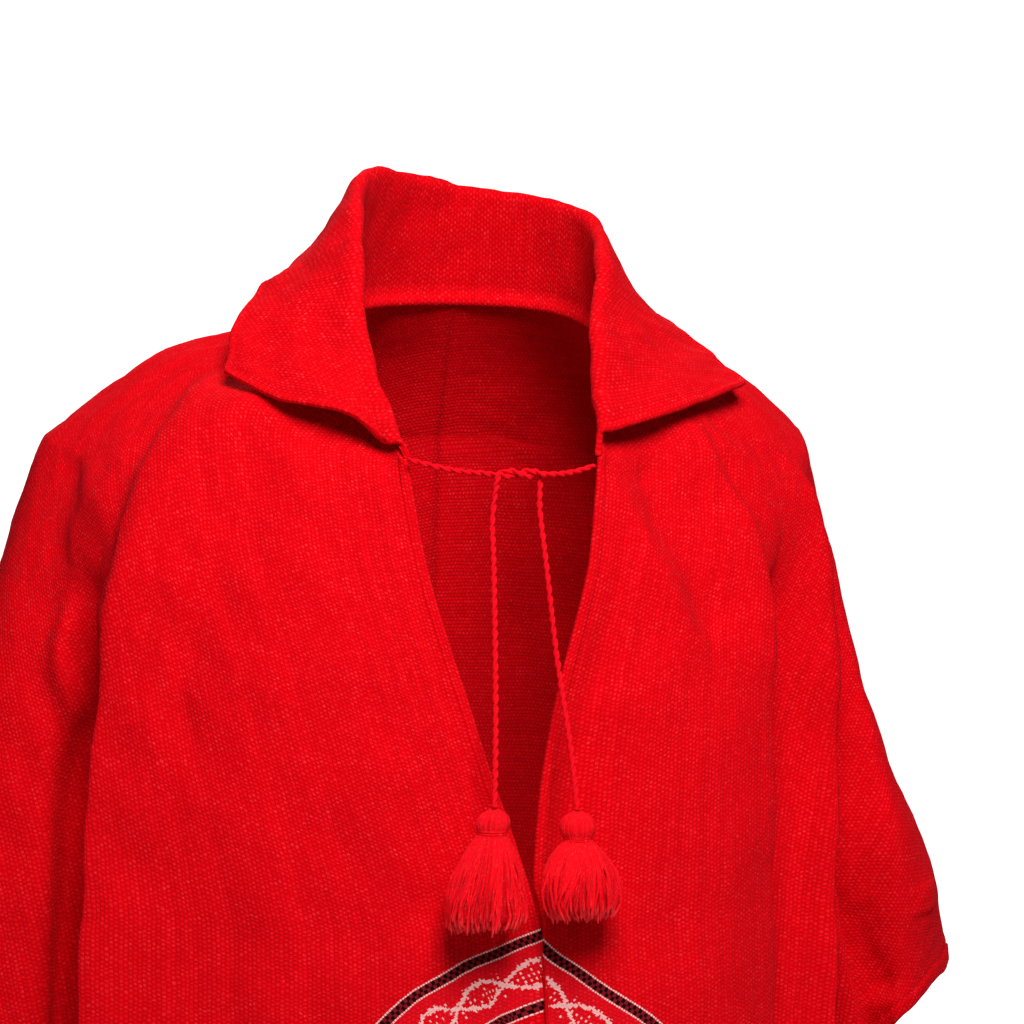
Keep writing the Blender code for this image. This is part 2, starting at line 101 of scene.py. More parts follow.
FRONT_RIGHT = [
    ("slit edge",      1.0,   0, 0.000,  -0.0484, -0.1000, -0.0850,  -0.0268, -0.1180,   0.0000, -0.1350,   0.0000, -0.1460, -0.655),
    ("front flat",     1.0,  18, 0.003,  -0.0780, -0.0960, -0.0840,  -0.0680, -0.1230,  -0.0540, -0.1370,  -0.0540, -0.1500, -0.662),
    ("front swell",    1.0,  34, 0.010,  -0.1120, -0.0880, -0.0800,  -0.1180, -0.1160,  -0.1100, -0.1300,  -0.1080, -0.1440, -0.680),
    ("soft trough",    1.0,  44, 0.016,  -0.1420, -0.0790, -0.0760,  -0.1560, -0.1010,  -0.1560, -0.1150,  -0.1580, -0.1320, -0.705),
    ("crest one",      0.30, 54, 0.021,  -0.1660, -0.0700, -0.0680,  -0.1945, -0.0820,  -0.2030, -0.0970,  -0.2090, -0.1180, -0.730),
    ("under crest one",0.60, 66, 0.018,  -0.1800, -0.0500, -0.0625,  -0.1820, -0.0420,  -0.1760, -0.0480,  -0.1660, -0.0560, -0.745),
    ("crest two",      0.60, 75, 0.016,  -0.1900, -0.0320, -0.0560,  -0.2090, -0.0380,  -0.2130, -0.0480,  -0.2240, -0.0740, -0.760),
    ("arm hollow",     0.80, 83, 0.018,  -0.1970, -0.0160, -0.0500,  -0.2240, -0.0330,  -0.2320, -0.0400,  -0.2380, -0.0500, -0.560),
    ("arm front",      0.90, 90, 0.0190,  -0.2060, -0.0040, -0.0455,  -0.2410, -0.0240,  -0.2540, -0.0330,  -0.2720, -0.0420, -0.430),
    ("arm outside",    1.0,  98, 0.0190,  -0.2090, 0.0140, -0.0400,   -0.2540, 0.0080,   -0.2800, 0.0040,   -0.3020, 0.0020, -0.372),
    ("arm back",       0.9, 106, 0.0180, -0.2010, 0.0340, -0.0440,   -0.2390, 0.0480,   -0.2560, 0.0540,   -0.2700, 0.0560, -0.410),
]
#    fold              soft deg   up      shoulder x,y,z              chest x,y          bust x,y           hem x,y,z
BACK = [
    ("back arm hollow",0.60, 113, 0.010,  0.900, 0.0650, -0.0500,    0.820, 0.0560,     0.800, 0.0530,     0.900, 0.0700, -0.480),
    ("back crest",     0.45, 121, 0.010,  0.780, 0.0820, -0.0540,    0.790, 0.1000,     0.780, 0.1100,     0.800, 0.1240, -0.745),
    ("under back crest",0.60,131, 0.010,  0.620, 0.0930, -0.0520,    0.560, 0.0780,     0.500, 0.0700,     0.470, 0.0700, -0.722),
    ("back swell",     1.0,  145, 0.008,  0.430, 0.1000, -0.0480,    0.420, 0.1160,     0.400, 0.1240,     0.400, 0.1340, -0.690),
    ("centre back",    1.0,  180, 0.004,  0.000, 0.1000, -0.0400,    0.000, 0.1180,     0.000, 0.1240,     0.000, 0.1300, -0.650),
]
YOKE_AT = 0.6
SHOULDER_TURN_FRONT = 1.2
SHOULDER_TURN_ARM = 0.10
STATIONS = 7
#    section            roll x,y,z                  edge x,y,z                 belly
COLLAR = [
    ("right corner",   -0.0560, -0.0880, -0.0425,  -0.1304, -0.0460, -0.0115,  0.001),
    ("right front",    -0.0650, -0.0560, 0.0080,   -0.1236, -0.0240, 0.0110,   0.001),
    ("right side",     -0.0620, -0.0260, 0.0540,   -0.1035, 0.0040, 0.0320,   -0.001),
    ("right back",     -0.0480, 0.0200, 0.0880,    -0.0700, 0.0600, 0.0400,   -0.001),
    ("centre back",    0.0020, 0.0520, 0.0840,     0.0000, 0.0980, 0.0260,     0.003),
    ("left back",      0.0570, 0.0220, 0.0700,     0.0850, 0.0600, 0.0240,    -0.001),
    ("left side",      0.0545, -0.0200, 0.0440,    0.1030, 0.0150, 0.0135,    -0.003),
    ("left front",     0.0415, -0.0560, 0.0080,    0.1205, -0.0020, -0.0030,   0.000),
    ("left corner",    0.0390, -0.0885, -0.0375,   0.1294, -0.0240, -0.0155,   0.001),
]
COLLAR_DEG = (0, 45, 80, 125, 180, 235, 280, 315, 360)
COLLAR_LIFT = 0.0012
ROLL_R = 0.0046

KNOT_AT = (-0.0035, -0.1045, -0.0575)
KNOT_LENGTH = 0.019
KNOT_BEND = 0.13
CORD_SAG = 0.0016
CORD_FROM_RIGHT = (-0.0534, -0.0958, -0.0508)
CORD_FROM_LEFT = (0.0340, -0.0955, -0.0540)
#                      x        y        z    hanging ends, below the knot
HANG_RIGHT = [
    (-0.0164, -0.1075, -0.0720),
    (-0.0182, -0.1160, -0.0962),
    (-0.0200, -0.1270, -0.1330),
    (-0.0232, -0.1420, -0.1800),
    (-0.0255, -0.1500, -0.2040),
]
HANG_LEFT = [
    (0.0052, -0.1075, -0.0720),
    (0.0060, -0.1160, -0.0965),
    (0.0088, -0.1260, -0.1400),
    (0.0115, -0.1420, -0.1820),
    (0.0122, -0.1500, -0.2060),
]

# ------------------------------------------------------------------ looks: sizes
WARP_PITCH = 0.00195       # one yarn across the cloth
ROW_PITCH = 0.00200        # from one float to the next along a yarn
SLIT_HEM = 0.0060          # turned edge of the front slit
HEM = 0.0085               # turned edge round the bottom and the arms
# columns across a panel, per gap between two folds, and rows down it, per gap between two stations
ACROSS = 13
DOWN = (12, 14, 20, 16, 24, 22)


def smoothstep(a, b, x):
    t = np.clip((np.asarray(x, float) - a) / (b - a), 0.0, 1.0)
    return t * t * (3 - 2 * t)


def through(points, soft, steps, first=None, last=None):
    """Smooth line through the points, soft scaling the turn at each; (n, ..., 3) in, all lines side by side."""
    points = np.asarray(points, float)
    soft = np.asarray(soft, float)
    while soft.ndim < points.ndim - 1:
        soft = soft[:, None]
    step = points[1:] - points[:-1]
    size = np.linalg.norm(step, axis=-1, keepdims=True) + 1e-9
    unit = step / size
    turn = np.empty_like(points)
    turn[1:-1] = (unit[:-1] * size[1:] + unit[1:] * size[:-1]) / (size[1:] + size[:-1])
    turn[0] = unit[0] if first is None else first
    turn[-1] = unit[-1] if last is None else last
    turn = turn * soft[..., None]
    out = []
    for i in range(len(points) - 1):
        n = steps[i]
        t = np.arange(n + (i == len(points) - 2)) / n
        t = t.reshape((-1,) + (1,) * (points.ndim - 1))
        h00, h10 = 2 * t**3 - 3 * t**2 + 1, t**3 - 2 * t**2 + t
        h01, h11 = 3 * t**2 - 2 * t**3, t**3 - t**2
        out.append(h00 * points[i] + h10 * size[i] * turn[i] + h01 * points[i + 1] + h11 * size[i] * turn[i + 1])
    return np.concatenate(out)


def neck_point(table, deg):
    table = np.array(table, float)
    line = through(table[:, 1:], np.ones(len(table)), [12] * (len(table) - 1),
                   last=np.array([-np.sign(table[1, 1]), 0.0, 0.0]))
    at = np.interp(np.linspace(0, len(table) - 1, len(line)), np.arange(len(table)), table[:, 0])
    return np.array([np.interp(deg, at, line[:, k]) for k in range(3)])


def meridians(front, neck):
    side = np.sign(front[-1][4])
    reach = [abs(front[-1][4]), abs(front[-1][7]), abs(front[-1][9]), abs(front[-1][11])]
    rows = list(front)
    for name, soft, deg, up, sx, sy, sz, cx, cy, bx, by, hx, hy, hz in BACK:
        rows.append((name, soft, deg, up, side * sx * reach[0], sy, sz, side * cx * reach[1], cy,
                     side * bx * reach[2], by, side * hx * reach[3], hy, hz))
    out, softs = [], []
    for name, soft, deg, up, sx, sy, sz, cx, cy, bx, by, hx, hy, hz in rows:
        seam = neck_point(neck, deg)
        shoulder = np.array([sx, sy, sz])
        yoke = seam + YOKE_AT * (shoulder - seam) + np.array([0, 0, up])
        chest = np.array([cx, cy, CHEST_Z])
        bust = np.array([bx, by, BUST_Z])
        hem = np.array([hx, hy, hz])
        hip = bust + 0.5 * (hem - bust)
        out.append([seam, yoke, shoulder, chest, bust, hip, hem])
        softs.append(soft)
    return np.array(out), np.array(softs), np.array([row[2] for row in rows], float)


def panel_surface(front, neck, down, across):
    """(across, down, 3) outer face of a panel, from the slit edge round to the centre back."""
    rows, soft, degrees = meridians(front, neck)
    side = np.sign(front[-1][4])
    turn = np.ones((STATIONS, len(rows)))
    turn[2] = SHOULDER_TURN_FRONT + (SHOULDER_TURN_ARM - SHOULDER_TURN_FRONT) * smoothstep(60, 88, degrees)
    lines = through(rows.transpose(1, 0, 2), turn, down)
    level = np.concatenate([np.arange(n) / n + i for i, n in enumerate(down)] + [[float(len(down))]])
    fade = smoothstep(0.35, 1.7, level)[None, :]
    softs = 1 + (soft[:, None] - 1) * fade
    first = np.zeros((len(lines), 3))
    first[:, 0] = side
    grid = through(lines.transpose(1, 0, 2), softs, [across] * (len(rows) - 1), first=first * 0.9, last=first * -1.0)
    edge = grid[0, :, 0]
    closed = grid[0, :, 2] <= SLIT_END_Z
    edge[closed] = side * SEAM_GAP / 2
    edge[~closed] = side * np.maximum(side * edge[~closed], SEAM_GAP / 2)
    grid[0, :, 0] = edge
    grid[-1, :, 0] = side * SEAM_GAP / 2
    return grid


def grid_normals(grid):
    a, b, c, d = grid[:-1, :-1], grid[1:, :-1], grid[1:, 1:], grid[:-1, 1:]
    total = np.zeros_like(grid)

    def corner(at, right, left, where):
        e, f = right - at, left - at
        e = e / (np.linalg.norm(e, axis=-1, keepdims=True) + 1e-12)
        f = f / (np.linalg.norm(f, axis=-1, keepdims=True) + 1e-12)
        n = np.cross(e, f)
        size = np.linalg.norm(n, axis=-1, keepdims=True)
        total[where] += n / (size + 1e-12) * np.arctan2(size, (e * f).sum(-1, keepdims=True))

    corner(a, b, d, (slice(None, -1), slice(None, -1)))
    corner(b, c, a, (slice(1, None), slice(None, -1)))
    corner(c, d, b, (slice(1, None), slice(1, None)))
    corner(d, a, c, (slice(None, -1), slice(1, None)))
    return total / (np.linalg.norm(total, axis=-1, keepdims=True) + 1e-12)


def cord_path(start, hang, phase):
    start = np.array(start)
    knot = np.array(KNOT_AT)
    toward = np.sign(knot[0] - start[0])
    coil = []
    for k in range(17):
        a = phase + toward * 2 * math.pi * k / 16
        coil.append(knot + np.array([toward * KNOT_LENGTH * (k / 16 - 0.5), KNOT_R * math.cos(a), KNOT_R * math.sin(a)]))
    line = []
    for k in range(6):
        p = start + (coil[0] - start) * k / 6
        p[2] -= CORD_SAG * math.sin(math.pi * k / 6)
        line.append(p)
    tail = np.concatenate([[coil[-1]], hang])
    ahead = np.array([toward * 0.8, 0.0, 0.6])
    drop = through(tail, np.array([3.0] + [1.0] * len(hang)), [8, 3, 4, 5, 3], first=ahead * KNOT_BEND)
    return np.concatenate([line, coil[:-1], drop])


def resample(line, spacing):
    """Evenly spaced points on a smooth curve through the given ones."""
    line = np.asarray(line, float)
    fine = through(line, np.ones(len(line)), [8] * (len(line) - 1))
    at = np.concatenate([[0], np.cumsum(np.linalg.norm(np.diff(fine, axis=0), axis=1))])
    n = max(2, int(round(at[-1] / spacing)) + 1)
    want = np.linspace(0, at[-1], n)
    return np.stack([np.interp(want, at, fine[:, k]) for k in range(3)], 1)


def frames_along(line):
    """Tangents and two cross directions that turn as little as they can along the line."""
    t = np.gradient(line, axis=0)
    t /= np.linalg.norm(t, axis=1, keepdims=True)
    a = np.empty_like(t)
    start = np.cross(t[0], [0.31, 0.87, 0.38])
    a[0] = start / np.linalg.norm(start)
    for i in range(1, len(t)):
        v = a[i - 1] - t[i] * (a[i - 1] @ t[i])
        a[i] = v / np.linalg.norm(v)
    return t, a, np.cross(t, a)


# ------------------------------------------------------------------ meshes
def add_mesh(name, verts, faces, materials, uvs=None, indices=None, smooth=True):
    """faces is (n, 3 or 4) or a list. uvs is {layer: per-vertex (n, 2)}."""
    mesh = bpy.data.meshes.new(name)
    verts = np.asarray(verts, float)
    mesh.from_pydata(verts.tolist(), [], [list(map(int, f)) for f in faces])
    for mat in materials:
        mesh.materials.append(mat)
    loops = np.empty(len(mesh.loops), np.int32)
    mesh.loops.foreach_get("vertex_index", loops)
    for layer, values in (uvs or {}).items():
        uv = mesh.uv_layers.new(name=layer)
        uv.data.foreach_set("uv", np.asarray(values, float)[loops].astype(np.float32).ravel())
    if indices is not None:
        mesh.polygons.foreach_set("material_index", np.asarray(indices, np.int32))
    mesh.polygons.foreach_set("use_smooth", np.full(len(mesh.polygons), smooth))
    mesh.update()
    obj = bpy.data.objects.new(name, mesh)
    bpy.context.scene.collection.objects.link(obj)
    return obj


def signed_volume(verts, faces):
    v = np.asarray(verts)
    total = 0.0
    f = np.asarray(faces)
    for k in range(1, f.shape[1] - 1):
        total += np.einsum("ij,ij->i", v[f[:, 0]], np.cross(v[f[:, k]], v[f[:, k + 1]])).sum()
    return total


def sheet_faces(nu, nv):
    """Quads of a closed shell whose two faces have the same grid, the first nu * nv vertices being one face."""
    a = np.arange(nu * nv).reshape(nu, nv)
    b = a + nu * nv
    top = np.stack([a[:-1, :-1], a[1:, :-1], a[1:, 1:], a[:-1, 1:]], -1).reshape(-1, 4)
    low = np.stack([b[:-1, :-1], b[:-1, 1:], b[1:, 1:], b[1:, :-1]], -1).reshape(-1, 4)
    rims = [
        np.stack([a[:-1, 0], b[:-1, 0], b[1:, 0], a[1:, 0]], -1),
        np.stack([a[:-1, -1], a[1:, -1], b[1:, -1], b[:-1, -1]], -1),
        np.stack([a[0, :-1], a[0, 1:], b[0, 1:], b[0, :-1]], -1),
        np.stack([a[-1, :-1], b[-1, :-1], b[-1, 1:], a[-1, 1:]], -1),
    ]
    return np.concatenate([top, low] + rims)


def waves(u, v, seed, count, shortest, longest):
    """Smooth unevenness, about -1 to 1, from a few waves of mixed direction over the flat cloth."""
    rng = np.random.default_rng(seed)
    total = np.zeros(np.shape(u))
    for _ in range(count):
        size = shortest * (longest / shortest) ** rng.random()
        a = rng.random() * math.pi
        total = total + np.sin(2 * math.pi * (u * math.cos(a) + v * math.sin(a)) / size + rng.random() * 6.28)
    return total / math.sqrt(count)


def flatten(grid, angles, neck_reach, rounds=60):
    """The flat cut of a draped panel: each point's place on the uncut cloth, with lengths kept as nearly as they can be."""
    nu, nv = grid.shape[:2]
    p = grid.reshape(-1, 3)
    idx = np.arange(nu * nv).reshape(nu, nv)
    a, b, c, d = idx[:-1, :-1].ravel(), idx[1:, :-1].ravel(), idx[1:, 1:].ravel(), idx[:-1, 1:].ravel()
    tri = np.concatenate([np.stack([a, b, c], 1), np.stack([a, c, d], 1)])
    e1, e2 = p[tri[:, 1]] - p[tri[:, 0]], p[tri[:, 2]] - p[tri[:, 0]]
    l1 = np.linalg.norm(e1, axis=1) + 1e-12
    x2 = (e1 * e2).sum(1) / l1
    y2 = np.linalg.norm(np.cross(e1, e2), axis=1) / l1
    local = np.zeros((len(tri), 3, 2))
    local[:, 1, 0] = l1
    local[:, 2, 0], local[:, 2, 1] = x2, np.maximum(y2, 1e-6)
    weights = np.empty((len(tri), 3))
    for k in range(3):
        i, j, o = k, (k + 1) % 3, (k + 2) % 3
        u, w = local[:, i] - local[:, o], local[:, j] - local[:, o]
        cross = np.abs(u[:, 0] * w[:, 1] - u[:, 1] * w[:, 0]) + 1e-12
        weights[:, k] = np.clip((u * w).sum(1) / cross, 0.05, 12.0)
    n = len(p)
    lap = np.zeros((n, n))
    for k in range(3):
        i, j, w = tri[:, k], tri[:, (k + 1) % 3], weights[:, k]
        np.add.at(lap, (i, i), w)
        np.add.at(lap, (j, j), w)
        np.add.at(lap, (i, j), -w)
        np.add.at(lap, (j, i), -w)
    lap[0, 0] += 1.0
    inverse = np.linalg.inv(lap)
    run = np.concatenate([np.zeros((nu, 1)), np.cumsum(np.linalg.norm(np.diff(grid, axis=1), axis=2), axis=1)], 1) + neck_reach
    flat = np.stack([run * np.sin(angles)[:, None], run * np.cos(angles)[:, None]], -1).reshape(-1, 2)
    for _ in range(rounds):
        s = np.zeros((len(tri), 2, 2))
        for k in range(3):
            i, j = k, (k + 1) % 3
            du = flat[tri[:, i]] - flat[tri[:, j]]
            dx = local[:, i] - local[:, j]
            s += weights[:, k, None, None] * du[:, :, None] * dx[:, None, :]
        turn = np.arctan2(s[:, 1, 0] - s[:, 0, 1], s[:, 0, 0] + s[:, 1, 1])
        co, si = np.cos(turn), np.sin(turn)
        rhs = np.zeros((n, 2))
        for k in range(3):
            i, j = k, (k + 1) % 3
            dx = local[:, i] - local[:, j]
            r = np.stack([co * dx[:, 0] - si * dx[:, 1], si * dx[:, 0] + co * dx[:, 1]], 1) * weights[:, k, None]
            np.add.at(rhs, tri[:, i], r)
            np.add.at(rhs, tri[:, j], -r)
        flat = inverse @ rhs
    flat = flat.reshape(nu, nv, 2)
    # the centre front line runs straight down the cloth
    line = flat[0, -1] - flat[0, nv // 2]
    turn = math.atan2(line[0], line[1])
    co, si = math.cos(turn), math.sin(turn)
    flat = np.stack([co * flat[..., 0] - si * flat[..., 1], si * flat[..., 0] + co * flat[..., 1]], -1)
    return flat - flat[0, -1]


def blend_grid(coarse, rho, lam):
    """Values of a coarse grid at fractional places (rho across, lam down)."""
    i = np.clip(np.floor(rho).astype(int), 0, coarse.shape[0] - 2)
    j = np.clip(np.floor(lam).astype(int), 0, coarse.shape[1] - 2)
    a, b = (rho - i)[..., None], (lam - j)[..., None]
    return ((1 - a) * (1 - b) * coarse[i, j] + a * (1 - b) * coarse[i + 1, j]
            + (1 - a) * b * coarse[i, j + 1] + a * b * coarse[i + 1, j + 1])


# ------------------------------------------------------------------ materials
class Graph:
    """A material's node tree, with short names for the nodes used here."""

    def __init__(self, name):
        self.mat = bpy.data.materials.new(name)
        self.mat.use_nodes = True
        self.tree = self.mat.node_tree
        self.tree.nodes.clear()

    def put(self, socket, value):
        if isinstance(value, bpy.types.NodeSocket):
            self.tree.links.new(value, socket)
        elif socket.type == "RGBA":
            socket.default_value = (*value[:3], 1.0)
        else:
            socket.default_value = value

    def node(self, kind, **settings):
        node = self.tree.nodes.new(kind)
        for key, value in settings.items():
            setattr(node, key, value)
        return node

    def math(self, operation, *values, clamp=False):
        node = self.node("ShaderNodeMath", operation=operation, use_clamp=clamp)
        for socket, value in zip(node.inputs, values):
            self.put(socket, value)
        return node.outputs[0]

    def add(self, a, b):
        return self.math("ADD", a, b)

    def sub(self, a, b):
        return self.math("SUBTRACT", a, b)

    def mul(self, a, b):
        return self.math("MULTIPLY", a, b)

    def step(self, value, a, b):
        """0 at a to 1 at b, with soft ends."""
        node = self.node("ShaderNodeMapRange", interpolation_type="SMOOTHSTEP")
        self.put(node.inputs["Value"], value)
        lo, hi, out = (a, b, (0.0, 1.0)) if a < b else (b, a, (1.0, 0.0))
        node.inputs["From Min"].default_value, node.inputs["From Max"].default_value = lo, hi
        node.inputs["To Min"].default_value, node.inputs["To Max"].default_value = out
        return node.outputs[0]

    def mix(self, share, a, b):
        node = self.node("ShaderNodeMix", data_type="RGBA")
        self.put(node.inputs[0], share)
        self.put(node.inputs[6], a)
        self.put(node.inputs[7], b)
        return node.outputs[2]

    def shade(self, colour, factor):
        """The colour times a number that varies over the surface."""
        node = self.node("ShaderNodeVectorMath", operation="SCALE")
        self.put(node.inputs[0], colour)
        self.put(node.inputs["Scale"], factor)
        return node.outputs[0]

    def uv(self, layer):
        node = self.node("ShaderNodeUVMap", uv_map=layer)
        split = self.node("ShaderNodeSeparateXYZ")
        self.tree.links.new(node.outputs[0], split.inputs[0])
        return split.outputs[0], split.outputs[1]

    def place(self, x, y, z=0.0):
        node = self.node("ShaderNodeCombineXYZ")
        for socket, value in zip(node.inputs, (x, y, z)):
            self.put(socket, value)
        return node.outputs[0]

    def noise(self, where, size, detail=2.0, rough=0.5):
        """0 to 1, with features of about that size in metres."""
        node = self.node("ShaderNodeTexNoise", noise_dimensions="3D")
        self.put(node.inputs["Vector"], where)
        node.inputs["Scale"].default_value = 1.0 / size
        node.inputs["Detail"].default_value = detail
        node.inputs["Roughness"].default_value = rough
        return node.outputs[0]

    def random(self, x, y=0.0):
        """0 to 1, one value for each whole number given."""
        node = self.node("ShaderNodeTexWhiteNoise", noise_dimensions="3D")
        self.put(node.inputs["Vector"], self.place(self.add(x, 0.37), self.add(y, 0.21), 0.5))
        return node.outputs[0]

    def finish(self, colour, height, depth, roughness, specular, sheen, sheen_tint, strength=1.0):
        shader = self.node("ShaderNodeBsdfPrincipled")
        out = self.node("ShaderNodeOutputMaterial")
        self.put(shader.inputs["Base Color"], colour)
        self.put(shader.inputs["Roughness"], roughness)
        shader.inputs["Specular IOR Level"].default_value = specular
        shader.inputs["Sheen Weight"].default_value = sheen
        shader.inputs["Sheen Roughness"].default_value = 0.5
        shader.inputs["Sheen Tint"].default_value = (*sheen_tint, 1.0)
        if height is not None:
            bump = self.node("ShaderNodeBump")
            bump.inputs["Strength"].default_value = strength
            bump.inputs["Distance"].default_value = depth
            self.put(bump.inputs["Height"], height)
            self.tree.links.new(bump.outputs[0], shader.inputs["Normal"])
        self.tree.links.new(shader.outputs[0], out.inputs[0])
        return self.mat


BEAD = (0.80, 0.0026, 0.0085)       # yarn where it floats on top
GAP = (0.66, 0.0012, 0.0045)        # painted shade between the floats: the yarn drawn darker where the weave dips
FIBRE_GLINT = (0.98, 0.080, 0.094)         # painted highlight: pale glints where loose fibres catch the light
DEEP = (0.90, 0.0040, 0.0130)       # the cords' yarn
TUFT = (0.88, 0.0040, 0.0110)       # the tassels' yarn
SALMON = (0.93, 0.40, 0.38)
SALMON_PALE = (0.97, 0.62, 0.60)
DARK_GROUND = (0.22, 0.0090, 0.0130)
BLACK = (0.0060, 0.0022, 0.0030)
SHEEN_TINT = (1.0, 0.06, 0.09)


def weave(g, u, v, pitch, row, seed):
    """Height (0 to 1) of a warp-faced plain weave, each yarn floating in turn, and the yarn's own shade."""
    spot = g.place(u, v, seed)
    u = g.add(u, g.mul(g.sub(g.noise(spot, 0.011, 1.0), 0.5), 0.0011))
    v = g.add(v, g.mul(g.sub(g.noise(g.place(u, v, seed + 7.0), 0.009, 1.0), 0.5), 0.0026))
    a = g.math("DIVIDE", u, pitch)
    yarn = g.math("FLOOR", a)
    across = g.math("FRACT", a)
    across = g.sub(g.mul(across, 2.0), 1.0)
    odd = g.math("FLOORED_MODULO", yarn, 2.0)
    own = g.random(yarn, seed)
    b = g.math("DIVIDE", v, row)
    b = g.add(b, g.mul(odd, 0.5))
    b = g.add(b, g.mul(own, 0.30))
    along = g.sub(0.5, g.mul(g.math("COSINE", g.mul(b, 2 * math.pi)), 0.5))
    bead = g.sub(1.0, g.mul(across, across))
    height = g.mul(g.math("POWER", bead, 0.7), g.add(g.mul(along, 0.68), 0.32))
    # the yarn's twist and loose fibres
    each = g.random(yarn, g.math("FLOOR", b))
    fibre = g.noise(g.place(g.mul(u, 1.0), g.mul(v, 0.5), seed + 3.0), 0.00042, 2.0, 0.65)
    height = g.add(height, g.mul(g.sub(fibre, 0.5), 0.75))
    height = g.add(height, g.mul(g.sub(each, 0.5), 0.42))
    return height, own, each, fibre


def cloth_material(name, seed, pitch=WARP_PITCH, row=ROW_PITCH, bands=False):
    g = Graph(name)
    u, v = g.uv("cloth")
    height, own, each, fibre = weave(g, u, v, pitch, row, seed)
    # painted shade: the colour runs from the floats' lit tops down to the darker gaps, standing in for the weave's own
    # shading
    top = g.step(height, 0.15, 0.95)
    colour = g.mix(top, GAP, BEAD)
    # painted highlights: pale glints of loose fibres, only on the raised floats, more of them in some places
    lot = g.step(g.noise(g.place(u, v, seed + 11.0), 0.006, 3.0, 0.6), 0.40, 0.70)
    glint_spots = g.step(g.noise(g.place(g.add(u, g.mul(v, 0.5)), g.mul(v, 0.55), seed + 17.0), 0.00052, 2.0, 0.6), 0.44, 0.68)
    glint_mask = g.mul(g.step(height, 0.55, 1.05), g.mul(glint_spots, g.add(g.mul(lot, 0.75), 0.25)))
    colour = g.mix(g.mul(glint_mask, 0.62), colour, FIBRE_GLINT)
    patch = g.noise(g.place(u, v, seed + 5.0), 0.045, 3.0)
    shade = g.add(g.mul(own, 0.10), g.mul(patch, 0.12))
    shade = g.add(shade, 0.89)
    colour = g.shade(colour, shade)
    rough = g.add(g.mul(g.sub(fibre, 0.5), 0.12), 0.9)
    if bands:
        colour, height = band_colour(g, colour, height, fibre)
    return g.finish(colour, height, 0.00032, rough, 0.010, 0.10, SHEEN_TINT, strength=0.7)


BAND_HALF = 0.0023          # half width of a dark band
BAND_APART = 0.0305         # from one dark band to the next
CHECK = 0.0013


def band_colour(g, colour, height, fibre):
    """The woven bands: two dark checked ones with dotted edges, and a chain of crossing lines between them."""
    s, t = g.uv("band")
    jog = g.mul(g.sub(fibre, 0.5), 0.0009)
    t = g.add(t, jog)

    def checked(colour, centre):
        d = g.sub(t, centre)
        size = g.math("ABSOLUTE", d)
        inside = g.step(size, BAND_HALF - 0.0001, BAND_HALF - 0.0004)
        edge = g.mul(g.step(size, BAND_HALF + 0.00074, BAND_HALF + 0.00042), g.step(size, BAND_HALF - 0.00030, BAND_HALF))
        dots = g.step(g.math("ABSOLUTE", g.sub(g.math("FRACT", g.math("DIVIDE", s, 0.00135)), 0.5)), 0.42, 0.24)
        row = g.math("FLOOR", g.math("DIVIDE", g.add(d, BAND_HALF * 20), BAND_HALF))
        column = g.math("FLOOR", g.math("DIVIDE", s, CHECK * 1.25))
        odd = g.math("FLOORED_MODULO", g.add(row, column), 2.0)
        ground = g.mix(g.mul(odd, 0.96), DARK_GROUND, BLACK)
        colour = g.mix(inside, colour, ground)
        return g.mix(g.mul(edge, g.add(g.mul(dots, 0.86), 0.12)), colour, SALMON_PALE)

    colour = checked(colour, 0.0)
    colour = checked(colour, BAND_APART)
    # the chain: two waves that cross, stepped by the yarns
    step = 0.00090
    sq = g.mul(g.math("FLOOR", g.math("DIVIDE", s, step)), step)
    tq = g.mul(g.add(g.math("FLOOR", g.math("DIVIDE", t, step)), 0.5), step)
    phase = g.mul(sq, 2 * math.pi / 0.052)
    sway = g.mul(g.sub(g.noise(g.place(sq, 0.0, 3.0), 0.012, 2.0), 0.5), 0.006)
    wave = g.mul(g.math("SINE", phase), 0.0058)
    width = g.add(g.mul(g.noise(g.place(sq, 0.0, 9.0), 0.006, 2.0), 0.0013), 0.00028)
    ragged = g.mul(g.sub(g.random(g.math("DIVIDE", sq, step), g.math("DIVIDE", tq, step)), 0.5), 0.0011)
    total = None
    for sign, seed in ((1.0, 1.0), (-1.0, 2.0)):
        line = g.add(g.mul(wave, sign), g.add(sway, 0.0152))
        gap = g.add(g.math("ABSOLUTE", g.sub(tq, line)), ragged)
        hit = g.math("LESS_THAN", gap, width)
        total = hit if total is None else g.math("MAXIMUM", total, hit)
    # loose dots in and round the links
    cell_s, cell_t = g.math("FLOOR", g.math("DIVIDE", s, 0.0024)), g.math("FLOOR", g.math("DIVIDE", t, 0.0024))
    in_s = g.math("ABSOLUTE", g.sub(g.math("FRACT", g.math("DIVIDE", s, 0.0024)), 0.5))
    in_t = g.math("ABSOLUTE", g.sub(g.math("FRACT", g.math("DIVIDE", t, 0.0024)), 0.5))
    dot = g.mul(g.math("LESS_THAN", in_s, 0.17), g.math("LESS_THAN", in_t, 0.24))
    dot = g.mul(dot, g.math("GREATER_THAN", g.random(cell_s, cell_t), 0.52))
    inside = g.math("LESS_THAN", g.math("ABSOLUTE", g.sub(t, g.add(sway, 0.0152))), 0.0062)
    total = g.math("MAXIMUM", total, g.mul(dot, inside))
    pale = g.mix(fibre, SALMON, SALMON_PALE)
    between = g.mul(g.step(t, BAND_HALF + 0.0004, BAND_HALF + 0.0016), g.step(t, BAND_APART - BAND_HALF - 0.0004, BAND_APART - BAND_HALF - 0.0016))
    colour = g.mix(g.mul(between, 0.30), colour, (0.82, 0.009, 0.022))
    return g.mix(g.mul(total, 0.88), colour, pale), height


